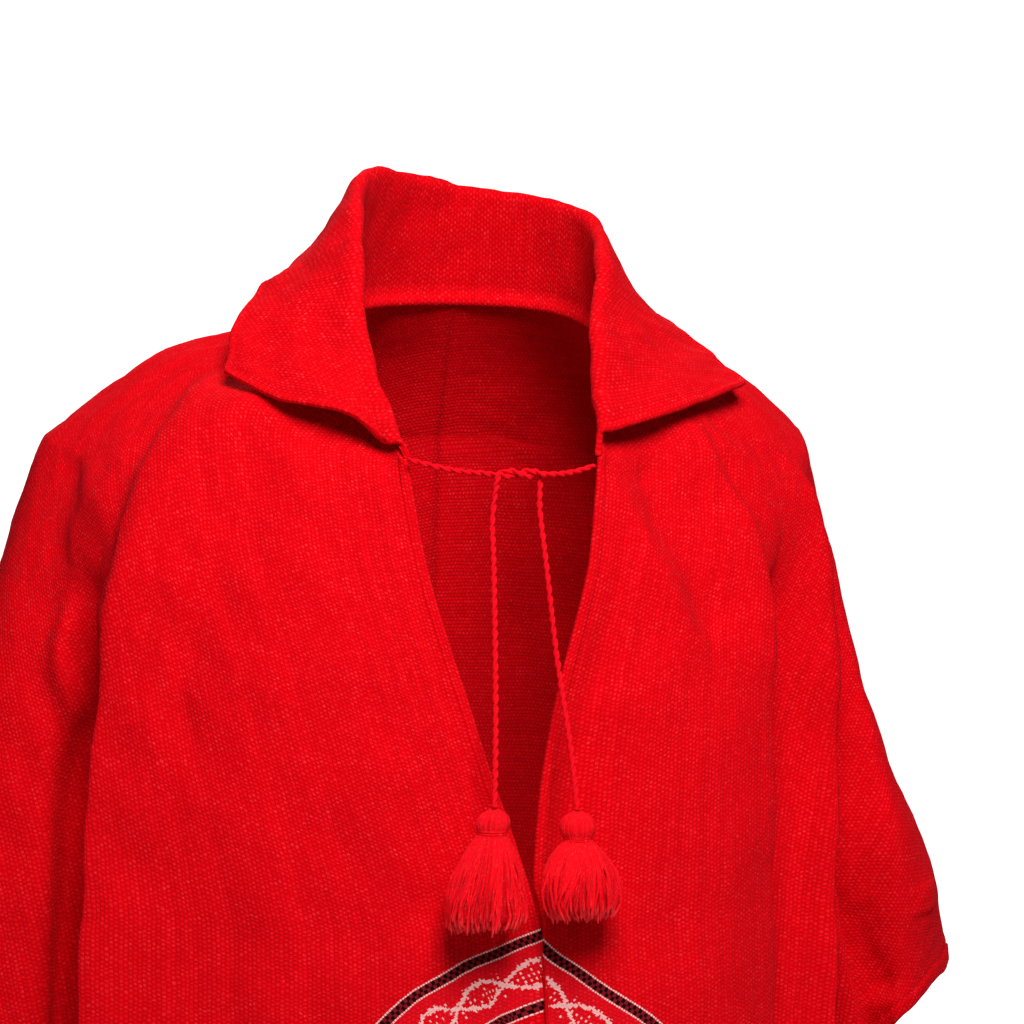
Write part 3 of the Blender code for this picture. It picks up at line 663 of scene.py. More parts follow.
def yarn_material(name, base, tips=None, seed=0.0, turns=1.0, pale=0.10):
    """Spun yarn. The layer "yarn" holds the length along it and the angle round it, and "tip" how near the cut end."""
    g = Graph(name)
    along, angle = g.uv("yarn")
    own, tip = g.uv("tip")
    twist = g.add(g.mul(along, 1 / 0.0021), g.mul(angle, turns))
    ply = g.math("ABSOLUTE", g.math("SINE", g.mul(twist, math.pi)))
    fibre = g.noise(g.place(g.mul(along, 0.25), g.mul(angle, 0.0012), g.mul(own, 3.0)), 0.0003, 3.0, 0.7)
    height = g.add(g.mul(ply, 0.5), g.mul(fibre, 0.7))
    # painted shade: the ply term darkens the grooves between the two plies; own and fibre vary the tone at random
    shade = g.add(g.mul(ply, 0.10), g.add(g.mul(own, 0.44), g.mul(fibre, 0.20)))
    colour = g.shade(base, g.add(shade, 0.62))
    # painted highlight: pale pink glints of lit fibres, their share set by pale
    colour = g.mix(g.mul(g.step(fibre, 0.54, 0.74), pale), colour, (0.98, 0.13, 0.14))
    if tips is not None:
        # painted highlight: the cut ends turn pale pink, like lit frayed fibres
        colour = g.mix(g.mul(g.step(tip, 0.88, 1.0), 0.20), colour, tips)
    return g.finish(colour, height, 0.00016, 0.9, 0.01, 0.16, SHEEN_TINT, strength=0.6)


# ------------------------------------------------------------------ cords
def cord_mesh(name, path, mat, start_turn):
    """Two yarns laid together, as one closed tube whose section has two lobes and turns along the path."""
    line = resample(path, 0.0005)
    for _ in range(13):
        line[1:-1] = 0.25 * line[:-2] + 0.5 * line[1:-1] + 0.25 * line[2:]
    line = resample(line[::2], 0.0005)
    t, a, b = frames_along(line)
    at = np.concatenate([[0], np.cumsum(np.linalg.norm(np.diff(line, axis=0), axis=1))])
    sides = 22
    lobe, off = 0.00086, 0.00058
    phi = np.linspace(0, 2 * math.pi, sides, endpoint=False)
    radius = off * np.abs(np.cos(phi)) + np.sqrt(np.maximum(lobe**2 - (off * np.sin(phi)) ** 2, 0))
    rng = np.random.default_rng(int(start_turn * 10) + 5)
    swell = 1 + 0.05 * np.interp(at, np.linspace(0, at[-1], 60), rng.standard_normal(60)).clip(-1.5, 1.5)
    turn = start_turn + 2 * math.pi * at / 0.0098
    turn = turn + 0.35 * np.interp(at, np.linspace(0, at[-1], 24), rng.standard_normal(24))
    rings = []
    for i in range(len(line)):
        w = phi + turn[i]
        r = radius * swell[i]
        rings.append(line[i] + np.outer(r * np.cos(w), a[i]) + np.outer(r * np.sin(w), b[i]))
    verts = np.concatenate(rings + [line[:1] - t[:1] * 0.0006, line[-1:] + t[-1:] * 0.0006])
    n = len(line)
    faces = []
    for i in range(n - 1):
        for k in range(sides):
            j = (k + 1) % sides
            faces.append((i * sides + k, (i + 1) * sides + k, (i + 1) * sides + j, i * sides + j))
    for k in range(sides):
        j = (k + 1) % sides
        faces.append((k, j, n * sides, n * sides))
        faces.append(((n - 1) * sides + k, n * sides + 1, n * sides + 1, (n - 1) * sides + j))
    faces = np.array(faces)
    if signed_volume(verts, faces) < 0:
        faces = faces[:, ::-1]
    faces = [list(dict.fromkeys(f.tolist())) for f in faces]
    yarn = np.zeros((len(verts), 2))
    yarn[: n * sides, 0] = np.repeat(at, sides)
    # the angle counts from 0 to 1 over each lobe, so no stripe breaks where the section closes
    yarn[: n * sides, 1] = np.tile(np.abs(np.sin(phi)), n)
    tip = np.zeros((len(verts), 2))
    tip[:, 0] = 0.4
    return add_mesh(name, verts, faces, [mat], {"yarn": yarn, "tip": tip}), line


def tighten(path, radius):
    """The knot pulled up: points in it come closer to its axis."""
    path = np.array(path)
    knot = np.array(KNOT_AT)
    near = np.abs(path[:, 0] - knot[0]) < KNOT_LENGTH / 2 + 0.0005
    off = path[:, 1:] - knot[1:]
    size = np.linalg.norm(off, axis=1)
    grip = near & (size < KNOT_R * 1.2)
    path[grip, 1:] = knot[1:] + off[grip] / size[grip, None] * radius
    return path


# pale sets the painted fibre glints on the cord
cord_mat = yarn_material("cord yarn", DEEP, seed=1.0, pale=0.12)
route_right = tighten(cord_path(CORD_FROM_RIGHT, HANG_LEFT, 0.0), 0.00150)
route_left = tighten(cord_path(CORD_FROM_LEFT, HANG_RIGHT, math.pi), 0.00150)
cord_right, line_right = cord_mesh("tie_cord_right_look", route_right, cord_mat, 0.0)
cord_left, line_left = cord_mesh("tie_cord_left_look", route_left, cord_mat, 1.3)


# ------------------------------------------------------------------ tassels
def tassel(name, top, length, lean, seed, mat, squash, spans, levels, strands=430, spread=1.0):
    """A bundle of yarn folded over the cord's end, bound below the fold, and cut ragged."""
    rng = np.random.default_rng(seed)
    neck = levels[5]
    sides, steps = 6, 26
    all_v, all_f, yarn, tips = [], [], [], []
    count = 0
    golden = math.pi * (3 - math.sqrt(5))
    for k in range(strands):
        part = k / strands
        ring = 1.0 if part < 0.42 else (0.88 if part < 0.68 else (0.70 if part < 0.86 else 0.42))
        angle = golden * k + rng.normal(0, 0.05)
        reach = 0.965 + 0.03 * (1 - ring) + rng.normal(0, 0.026) - 0.12 * rng.random() ** 4
        reach = min(reach, 1.02)
        t = np.linspace(0.0 if ring == 1.0 else 0.2, reach, steps)
        r = np.interp(t, levels, spans) * TASSEL_HEAD_R * spread
        r = r * (ring + (1 - ring) * 0.0)
        tuft = 0.10 * math.sin(3 * angle + seed) + 0.06 * math.sin(5 * angle + 2.0 * seed)
        flare = smoothstep(0.3, 1.0, t)
        r = r * (1 + tuft * flare)
        swirl = angle + (rng.normal(0, 0.12) + 0.10 * math.sin(2 * angle + seed)) * flare
        drift = rng.normal(0, 0.0009, 2)
        wobble = 0.0007 * np.sin(t * (9 + 5 * rng.random()) + rng.random() * 6.28) * flare
        swirl = swirl + (0.045 * np.sin(t * (10 + 8 * rng.random()) + rng.random() * 6.28) + 0.07 * np.sin(t * 8 + 2 * angle + seed)) * flare
        x = (r + wobble) * np.cos(swirl) + lean[0] * t + drift[0] * flare
        y = squash * (r + wobble) * np.sin(swirl) + lean[1] * t + drift[1] * flare
        z = -t * length
        line = np.array(top) + np.stack([x, y, z], 1)
        tan, a, b = frames_along(line)
        at = np.concatenate([[0], np.cumsum(np.linalg.norm(np.diff(line, axis=0), axis=1))])
        own = rng.random()
        thick = 0.00050 * (0.84 + 0.34 * rng.random())
        fat = thick * np.interp(t, [0, 0.15, neck, neck + 0.08, reach - 0.02, reach], [0.8, 1.1, 0.9, 1.05, 1.1, 0.6])
        phi = np.linspace(0, 2 * math.pi, sides, endpoint=False)
        lobe = 1 + 0.16 * np.cos(2 * phi)
        turn = np.full(steps, rng.random() * 6.28) + 0.5 * t
        for i in range(steps):
            w = phi + turn[i]
            all_v.append(line[i] + np.outer(fat[i] * lobe * np.cos(w), a[i]) + np.outer(fat[i] * lobe * np.sin(w), b[i]))
            yarn.append(np.stack([np.full(sides, at[i] + 0.01 * k), phi / 6.28], 1))
            tips.append(np.stack([np.full(sides, own), np.full(sides, t[i] / reach)], 1))
        for i in range(steps - 1):
            for q in range(sides):
                p = (q + 1) % sides
                all_f.append((count + i * sides + q, count + i * sides + p, count + (i + 1) * sides + p, count + (i + 1) * sides + q))
        for end, tip_at in ((0, line[0]), (steps - 1, line[-1] + tan[-1] * 0.0006)):
            all_v.append(np.array([tip_at]))
            yarn.append(np.array([[at[end] + 0.01 * k, 0.5]]))
            tips.append(np.array([[own, t[end] / reach]]))
        first, last = count + steps * sides, count + steps * sides + 1
        for q in range(sides):
            p = (q + 1) % sides
            all_f.append((count + q, first, count + p))
            all_f.append((count + (steps - 1) * sides + p, last, count + (steps - 1) * sides + q))
        count += steps * sides + 2
    # the yarn packed inside, whose skin lies just under the outer strands
    fine = np.linspace(0.012, 0.965, 40)
    around = np.linspace(0, 2 * math.pi, 48, endpoint=False)
    for level in fine:
        r = np.interp(level, levels, spans) * TASSEL_HEAD_R * spread - 0.00055
        if level > 0.90:
            r = r * (1 - 0.5 * ((level - 0.90) / 0.065) ** 2)
        flare = float(smoothstep(0.3, 1.0, level))
        tuft = 0.10 * np.sin(3 * around + seed) + 0.06 * np.sin(5 * around + 2.0 * seed)
        ridge = 1 + 0.025 * np.sin(23 * around + 3 * np.sin(around * 2 + level * 4)) + tuft * flare
        x = r * ridge * np.cos(around) + lean[0] * level
        y = squash * r * ridge * np.sin(around) + lean[1] * level
        all_v.append(np.array(top) + np.stack([x, y, np.full(48, -level * length)], 1))
        yarn.append(np.stack([np.full(48, level * length), around / 6.28 * 20], 1))
        # painted shade: own -0.35 darkens the packed core below any strand, for the shade inside the bundle
        tips.append(np.tile([[-0.35, level * 0.8]], (48, 1)))
    for i in range(len(fine) - 1):
        for q in range(48):
            p = (q + 1) % 48
            all_f.append((count + i * 48 + q, count + (i + 1) * 48 + q, count + (i + 1) * 48 + p, count + i * 48 + p))
    all_f.append(tuple(count + q for q in range(48)))
    all_f.append(tuple(count + (len(fine) - 1) * 48 + q for q in reversed(range(48))))
    count += len(fine) * 48
    # the binding: a yarn wound round the neck
    turns, per = 3.4, 40
    n = int(turns * per)
    w = np.linspace(0, turns * 2 * math.pi, n)
    r = TASSEL_HEAD_R * spread * spans[5] + 0.00045
    zz = -(neck - 0.035 + 0.07 * w / w[-1]) * length
    line = np.array(top) + np.stack([r * np.cos(w) + lean[0] * neck, (squash * r + 0.0004) * np.sin(w) + lean[1] * neck, zz], 1)
    tan, a, b = frames_along(line)
    at = np.linspace(0, n * 0.0006, n)
    phi = np.linspace(0, 2 * math.pi, sides, endpoint=False)
    for i in range(n):
        all_v.append(line[i] + np.outer(0.00050 * np.cos(phi), a[i]) + np.outer(0.00050 * np.sin(phi), b[i]))
        yarn.append(np.stack([np.full(sides, at[i]), phi / 6.28], 1))
        tips.append(np.tile([[0.45, 0.3]], (sides, 1)))
    for i in range(n - 1):
        for q in range(sides):
            p = (q + 1) % sides
            all_f.append((count + i * sides + q, count + i * sides + p, count + (i + 1) * sides + p, count + (i + 1) * sides + q))
    all_f.append(tuple(count + q for q in reversed(range(sides))))
    all_f.append(tuple(count + (n - 1) * sides + q for q in range(sides)))
    return add_mesh(name, np.concatenate(all_v), all_f, [mat], {"yarn": np.concatenate(yarn), "tip": np.concatenate(tips)})


# tips paints the cut ends pale pink and pale paints fibre glints: painted highlights
tassel_mat = yarn_material("tassel yarn", TUFT, tips=(0.98, 0.13, 0.14), seed=2.0, pale=0.36)
drop = np.array([0, 0, -SEAM_GAP - 0.0003])
ends_right, ends_left = cord_path(CORD_FROM_LEFT, HANG_RIGHT, math.pi)[-1] + drop, cord_path(CORD_FROM_RIGHT, HANG_LEFT, 0.0)[-1] + drop
tassel_right = tassel("tassel_right_look", ends_right, TASSEL_LENGTH_RIGHT, (-0.0060, -0.002), 3, tassel_mat, TASSEL_FLAT,
                      [0.26, 0.70, 1.00, 1.08, 1.02, 0.88, 1.16, 1.74, 2.26, 2.46, 2.40, 2.12],
                      np.array([0.0, 0.025, 0.065, 0.115, 0.150, 0.195, 0.255, 0.37, 0.54, 0.72, 0.86, 1.0]))
tassel_left = tassel("tassel_left_look", ends_left, TASSEL_LENGTH_LEFT, (0.0005, -0.002), 8, tassel_mat, TASSEL_FLAT,
                     [0.26, 0.70, 1.04, 1.14, 1.06, 0.80, 1.22, 1.86, 2.38, 2.54, 2.34, 1.86],
                     np.array([0.0, 0.03, 0.08, 0.15, 0.20, 0.262, 0.32, 0.42, 0.56, 0.72, 0.86, 1.0]))


# ------------------------------------------------------------------ panels
def arc(grid, axis):
    step = np.linalg.norm(np.diff(grid, axis=axis), axis=2)
    pad = [(0, 0), (0, 0)]
    pad[axis] = (1, 0)
    return np.pad(np.cumsum(step, axis=axis), pad)


def resample_rows(grid, rho, lam, axis, part, wanted):
    """Along one axis, the points of the first `part` samples moved to the wanted arc distances, given per line as shares."""
    g = np.moveaxis(grid, axis, 0)
    r, l = np.moveaxis(rho, axis, 0), np.moveaxis(lam, axis, 0)
    lines = np.linalg.norm(np.diff(g[: part + 1], axis=0), axis=2)
    run = np.pad(np.cumsum(lines, axis=0), ((1, 0), (0, 0)))
    count = len(wanted(run[-1, 0]))
    out = np.empty((count,) + g.shape[1:])
    out_r, out_l = np.empty((count, g.shape[1])), np.empty((count, g.shape[1]))
    for j in range(g.shape[1]):
        want = wanted(run[-1, j])
        for k in range(3):
            out[:, j, k] = np.interp(want, run[:, j], g[: part + 1, j, k])
        out_r[:, j] = np.interp(want, run[:, j], r[: part + 1, j])
        out_l[:, j] = np.interp(want, run[:, j], l[: part + 1, j])
    g = np.concatenate([out, g[part + 1:]])
    r = np.concatenate([out_r, r[part + 1:]])
    l = np.concatenate([out_l, l[part + 1:]])
    return np.moveaxis(g, 0, axis), np.moveaxis(r, 0, axis), np.moveaxis(l, 0, axis)


SLIT_AT = [0.0, 0.0006, 0.0015, 0.0028, 0.0042, 0.0051, 0.0058, 0.0066, 0.0080, 0.0096, 0.0113, 0.0130, 0.0148, 0.0170, 0.0200]
HEM_AT = [0.0, 0.0006, 0.0015, 0.0035, 0.0060, 0.0076, 0.0085, 0.0095, 0.0115]


#    panel, form, height (out is +), half width towards the middle, half width away from it, points (x, y, z)
FOLDS = [
    ("right", "edge", 0.0042, 0.0170, 0.0050, [(-0.1236, -0.0193, -0.0056), (-0.1328, -0.0222, -0.0102), (-0.1445, -0.0333, -0.0221), (-0.1516, -0.0427, -0.0312),
                                               (-0.1600, -0.0515, -0.0426), (-0.1668, -0.0570, -0.0538), (-0.1722, -0.0631, -0.0671), (-0.1797, -0.0676, -0.0859),
                                               (-0.1842, -0.0720, -0.1052), (-0.1869, -0.0694, -0.1201), (-0.1898, -0.0790, -0.1413), (-0.1922, -0.0810, -0.1592)]),
    ("right", "ridge", -0.0034, 0.0120, 0.0120, [(-0.1107, -0.0652, -0.0333), (-0.1195, -0.0760, -0.0556), (-0.1267, -0.0839, -0.0784), (-0.1399, -0.0914, -0.1071),
                                                 (-0.1486, -0.0934, -0.1233), (-0.1550, -0.0947, -0.1388), (-0.1582, -0.0990, -0.1651), (-0.1590, -0.1040, -0.2000)]),
    ("right", "ridge", 0.0020, 0.0080, 0.0080, [(-0.1500, -0.0830, -0.0930), (-0.1553, -0.0863, -0.1072), (-0.1624, -0.0900, -0.1315), (-0.1680, -0.0947, -0.1653), (-0.1700, -0.0990, -0.1900)]),
    ("right", "ridge", -0.0014, 0.0160, 0.0160, [(-0.1970, -0.0130, -0.0440), (-0.1984, -0.0176, -0.0544), (-0.2018, -0.0277, -0.0802), (-0.2063, -0.0315, -0.1099), (-0.2100, -0.0330, -0.1300)]),
    ("right", "ridge", 0.0012, 0.0110, 0.0110, [(-0.1870, -0.0420, -0.0600), (-0.1893, -0.0433, -0.0713), (-0.1918, -0.0443, -0.1004), (-0.1930, -0.0440, -0.1120)]),
    ("right", "ridge", 0.0052, 0.0046, 0.0062, [(-0.2010, -0.0340, -0.1180), (-0.2032, -0.0363, -0.1263), (-0.2063, -0.0359, -0.1389), (-0.2032, -0.0379, -0.1556), (-0.1976, -0.0393, -0.1700), (-0.1959, -0.0401, -0.1812)]),
    ("right", "ridge", -0.0130, 0.0068, 0.0068, [(-0.1905, -0.0500, -0.1240), (-0.1919, -0.0500, -0.1420), (-0.1935, -0.0500, -0.1610), (-0.1950, -0.0500, -0.1820)]),
    ("right", "ridge", -0.0170, 0.0090, 0.0098, [(-0.1965, -0.0395, -0.1600), (-0.2002, -0.0420, -0.2046), (-0.2036, -0.0469, -0.2498), (-0.2055, -0.0507, -0.2967), (-0.2060, -0.0550, -0.3600), (-0.2060, -0.0600, -0.4200)]),
    ("right", "ridge", -0.0020, 0.0160, 0.0160, [(-0.0530, -0.1360, -0.2393), (-0.0393, -0.1365, -0.2579)]),
    ("right", "ridge", -0.0030, 0.0180, 0.0180, [(-0.0900, -0.1370, -0.3300), (-0.0760, -0.1410, -0.4300), (-0.0800, -0.1440, -0.5400)]),
    ("right", "ridge", 0.0022, 0.0140, 0.0140, [(-0.1240, -0.1250, -0.2000), (-0.1210, -0.1290, -0.2600), (-0.1180, -0.1340, -0.3400)]),
    ("left", "edge", 0.0036, 0.0150, 0.0048, [(0.0905, -0.0514, -0.0336), (0.0986, -0.0562, -0.0446), (0.1035, -0.0602, -0.0561), (0.1074, -0.0624, -0.0643), (0.1151, -0.0657, -0.0786),
                                              (0.1205, -0.0700, -0.0898), (0.1235, -0.0760, -0.1066), (0.1226, -0.0836, -0.1370), (0.1209, -0.0925, -0.1697)]),
    ("left", "ridge", 0.0040, 0.0080, 0.0080, [(0.0370, -0.0890, -0.0440), (0.0399, -0.0898, -0.0542), (0.0497, -0.0916, -0.0734), (0.0597, -0.0957, -0.0946), (0.0704, -0.0979, -0.1112), (0.0781, -0.1007, -0.1278), (0.0830, -0.1060, -0.1500)]),
    ("left", "ridge", -0.0046, 0.0125, 0.0125, [(0.0600, -0.0720, -0.0450), (0.0651, -0.0762, -0.0571), (0.0739, -0.0856, -0.0846), (0.0858, -0.0888, -0.1057), (0.0930, -0.0950, -0.1400)]),
    ("left", "ridge", -0.0060, 0.0110, 0.0110, [(0.1380, -0.0620, -0.1000), (0.1420, -0.0740, -0.1800), (0.1430, -0.0790, -0.2500), (0.1430, -0.0830, -0.3300), (0.1430, -0.0860, -0.4200)]),
    ("left", "ridge", -0.0018, 0.0050, 0.0050, [(0.1026, -0.0413, -0.0315), (0.1347, -0.0346, -0.0469), (0.1560, -0.0270, -0.0582)]),
    ("left", "edge", 0.0030, 0.0120, 0.0045, [(0.1573, -0.0224, -0.0540), (0.1623, -0.0260, -0.0696), (0.1661, -0.0380, -0.1095), (0.1663, -0.0463, -0.1472), (0.1661, -0.0542, -0.1907)]),
    ("left", "ridge", -0.0030, 0.0180, 0.0180, [(0.0260, -0.1200, -0.1600), (0.0330, -0.1260, -0.2000), (0.0400, -0.1330, -0.2400), (0.0500, -0.1380, -0.2900)]),
    ("left", "ridge", -0.0055, 0.0100, 0.0100, [(0.1768, -0.0300, -0.2696), (0.1981, -0.0280, -0.3296)]),
    ("left", "ridge", 0.0022, 0.0100, 0.0100, [(0.2216, -0.0200, -0.2657), (0.2259, -0.0200, -0.2825)]),
    ("left", "ridge", -0.0026, 0.0150, 0.0150, [(0.0700, -0.1390, -0.3500), (0.0600, -0.1430, -0.4500), (0.0680, -0.1470, -0.5600)]),
    ("right", "ridge", -0.0040, 0.0140, 0.0140, [(-0.0600, 0.0900, -0.0300), (-0.0800, 0.1030, -0.0700), (-0.1000, 0.1080, -0.1300), (-0.1080, 0.1120, -0.2200)]),
    ("right", "edge", 0.0030, 0.0110, 0.0060, [(-0.0350, 0.1000, -0.0500), (-0.0480, 0.1120, -0.1000), (-0.0620, 0.1160, -0.1700), (-0.0680, 0.1240, -0.3000)]),
    ("right", "ridge", -0.0035, 0.0160, 0.0160, [(-0.0400, 0.1260, -0.3600), (-0.0520, 0.1290, -0.4800), (-0.0480, 0.1320, -0.6000)]),
    ("left", "ridge", -0.0036, 0.0140, 0.0140, [(0.0550, 0.0900, -0.0300), (0.0700, 0.1020, -0.0700), (0.0860, 0.1080, -0.1300), (0.0920, 0.1120, -0.2000)]),
    ("left", "edge", 0.0028, 0.0110, 0.0060, [(0.0260, 0.1030, -0.0500), (0.0380, 0.1120, -0.1000), (0.0500, 0.1180, -0.1700), (0.0620, 0.1240, -0.3200)]),
    ("left", "ridge", -0.0030, 0.0160, 0.0160, [(0.0300, 0.1260, -0.3900), (0.0420, 0.1290, -0.5000), (0.0380, 0.1310, -0.6100)]),
]


def to_line(p, line):
    """Distance of each point to the line in space, the share of its length at the nearest place, and the sideways offset there."""
    line = np.array(line, float)
    best = np.full(p.shape[:-1], 1e9)
    share, aside = np.zeros(best.shape), np.zeros(best.shape)
    seg = np.linalg.norm(np.diff(line, axis=0), axis=1)
    run = np.concatenate([[0], np.cumsum(seg)])
    for i in range(len(line) - 1):
        d = line[i + 1] - line[i]
        t = np.clip(((p - line[i]) @ d) / (d @ d), 0, 1)
        off = p - line[i] - t[..., None] * d
        dist = np.linalg.norm(off, axis=-1)
        closer = dist < best
        best = np.where(closer, dist, best)
        share = np.where(closer, (run[i] + t * seg[i]) / run[-1], share)
        aside = np.where(closer, off[..., 0], aside)
    return best, share, aside


def fold_height(p, side, form, height, inner, outer, line):
    """How far the fold moves each point out of the cloth."""
    flat = p.reshape(-1, 3)
    line = np.array([flat[np.argmin(np.linalg.norm(flat - q, axis=1))] for q in np.array(line)])
    fine = through(line, np.ones(len(line)), [6] * (len(line) - 1))
    d, share, aside = to_line(p, fine)
    d = d * np.sign(side * aside)
    ends = smoothstep(0.0, 0.16, share) * smoothstep(1.0, 0.80, share)
    wide = np.where(d > 0, outer, inner)
    shape = np.exp(-(d / wide) ** 2)
    if form == "edge":
        shape = shape - 0.55 * np.exp(-((d - 2.3 * outer) / (1.4 * outer)) ** 2)
    return height * shape * ends


# centre lines of the outer band, points (x, z) on the front
BAND_RIGHT = [(0.0, -0.2635), (-0.0109, -0.2670), (-0.0205, -0.2706), (-0.0346, -0.2752), (-0.0442, -0.2803), (-0.0592, -0.2880),
              (-0.0727, -0.2996), (-0.0860, -0.3150), (-0.0980, -0.3350), (-0.1065, -0.3600), (-0.1100, -0.3900), (-0.1100, -0.4600), (-0.1090, -0.5600), (-0.1080, -0.6790)]
BAND_LEFT = [(0.0, -0.2690), (0.0057, -0.2742), (0.0154, -0.2806), (0.0252, -0.2879), (0.0354, -0.2947), (0.0457, -0.3015),
             (0.0560, -0.3105), (0.0680, -0.3240), (0.0790, -0.3420), (0.0860, -0.3640), (0.0885, -0.3900), (0.0885, -0.4600), (0.0885, -0.5600), (0.0890, -0.6790)]


def panel(name, front, neck, mat, seed, band):
    side = float(np.sign(front[-1][4]))
    gaps = len(front) + len(BACK) - 1
    steps = [40, 30] + [ACROSS] * (gaps - 2)
    down = list(DOWN[:-1]) + [60]
    grid = panel_surface_steps(front, neck, down, steps)
    nu, nv = grid.shape[:2]
    rho = np.concatenate([np.arange(n) / n + i for i, n in enumerate(steps)] + [[float(gaps)]])
    lam = np.concatenate([np.arange(n) / n + i for i, n in enumerate(down)] + [[float(len(down))]])
    rho, lam = np.repeat(rho[:, None], nv, 1), np.repeat(lam[None, :], nu, 0)
    # fine columns beside the slit, for its turned edge
    first = lambda end: np.concatenate([SLIT_AT, np.linspace(SLIT_AT[-1], end, 16)[1:]])
    grid, rho, lam = resample_rows(grid, rho, lam, 0, 70, first)
    # fine rows beside the lower edge
    flip = lambda a: a[:, ::-1]
    last = lambda end: np.concatenate([HEM_AT, np.linspace(HEM_AT[-1], end, 23)[1:]])
    grid, rho, lam = resample_rows(flip(grid), flip(rho), flip(lam), 1, 60, last)
    grid, rho, lam = flip(grid), flip(rho), flip(lam)
    nu, nv = grid.shape[:2]
    from_slit = arc(grid, 0)
    beside = np.interp(grid[0, :, 2], [-0.262, -0.256, -0.248, -0.240, -0.220, -0.200, -0.170, -0.130, -0.100], [0, 0.15, 0.55, 0.95, 1.0, 0.95, 0.65, 0.28, 0])[None, :]
    if side > 0:
        grid[..., 0] -= 0.0064 * beside * smoothstep(0.034, 0.0, from_slit)
    outward = grid_normals(grid) * -side
    for row in (0, -1):
        outward[row, :, 0] = 0.0
        outward[row] /= np.linalg.norm(outward[row], axis=-1, keepdims=True)
    x, z = grid[..., 0], grid[..., 2]
    ds = arc(grid, 0)
    dh = arc(grid[:, ::-1], 1)[:, ::-1]
    flat = flat_of(front, neck, rho, lam, side)
    # the slit's edge is the cloth's own edge, so the yarns run along it
    order = np.argsort(flat[0, :, 1])
    edge_u = np.interp(flat[..., 1], flat[0, order, 1], flat[0, order, 0])
    lean = smoothstep(0.34, 0.10, np.abs(flat[..., 0] - edge_u)) * smoothstep(113.0, 70.0, np.interp(rho, np.arange(gaps + 1), meridians(front, neck)[2]))
    flat[..., 0] -= edge_u * lean
    u, v = flat[..., 0], flat[..., 1]
    # turned edges: a raised band with a stitched valley inside it
    open_part = smoothstep(SLIT_END_Z - 0.012, SLIT_END_Z + 0.006, z)
    db = arc(grid[::-1], 0)[::-1]
    turned = smoothstep(SLIT_HEM, SLIT_HEM - 0.0009, ds) * (0.35 + 0.65 * open_part)
    valley = np.exp(-((ds - SLIT_HEM - 0.0002) / 0.0006) ** 2) * (0.35 + 0.65 * open_part)
    low = smoothstep(HEM, HEM - 0.0010, dh)
    low_valley = np.exp(-((dh - HEM - 0.0002) / 0.0007) ** 2)
    waver = waves(u, v, seed + 20, 6, 0.012, 0.05)
    lift = np.maximum(turned * (0.0009 + 0.00018 * waver), low * (0.0008 + 0.0002 * waver)) - 0.00035 * np.maximum(valley, low_valley)
    # creases and unevenness
    inside = 1 - smoothstep(0.0, 0.012, 0.012 - np.minimum(ds, 0.012)) * 0.5
    facing = outward[..., 1]
    bend = np.zeros_like(x)
    for which, form, height, wide_in, wide_out, line in FOLDS:
        if which == name.split("_")[2]:
            bend += fold_height(grid, side, form, height, wide_in, wide_out, line)
    if side > 0:
        roll = 0.0022 * np.exp(-((ds - 0.0035) / 0.0034) ** 2) - 0.0098 * np.exp(-((ds - 0.0165) / 0.0078) ** 2)
        rolled = beside * roll
    else:
        rolled = beside * (0.0006 * np.exp(-((ds - 0.0040) / 0.0034) ** 2) - 0.0012 * np.exp(-((ds - 0.0105) / 0.0040) ** 2))
    edge_fade = smoothstep(0.0, 0.03, ds) * smoothstep(0.0, 0.03, arc(grid[::-1], 0)[::-1]) * smoothstep(0.0, 0.03, arc(grid, 1))
    bend *= edge_fade
    bend += edge_fade * (0.0007 * waves(u, v, seed, 7, 0.03, 0.11) + 0.00025 * waves(u, v, seed + 1, 8, 0.010, 0.022))
    bend += rolled
    # a lower edge that isn't ruled
    down_dir = grid[:, -1] - grid[:, -3]
    down_dir /= np.linalg.norm(down_dir, axis=1, keepdims=True)
    fall = smoothstep(0.05, 0.0, dh)[..., None] * (0.0012 * waves(u[:, -1], v[:, -1], seed + 9, 6, 0.03, 0.14))[:, None, None]
    centre = grid - outward * (CLOTH_T / 2) + outward * bend[..., None] + fall * down_dir[:, None, :]
    # rounded rims
    half_out = 0.0011 + lift
    seam_in = smoothstep(0.0090, 0.0078, db)
    half_in = 0.0009 + 0.8 * np.maximum(np.maximum(turned * 0.0009, low * 0.0008), seam_in * 0.0012)
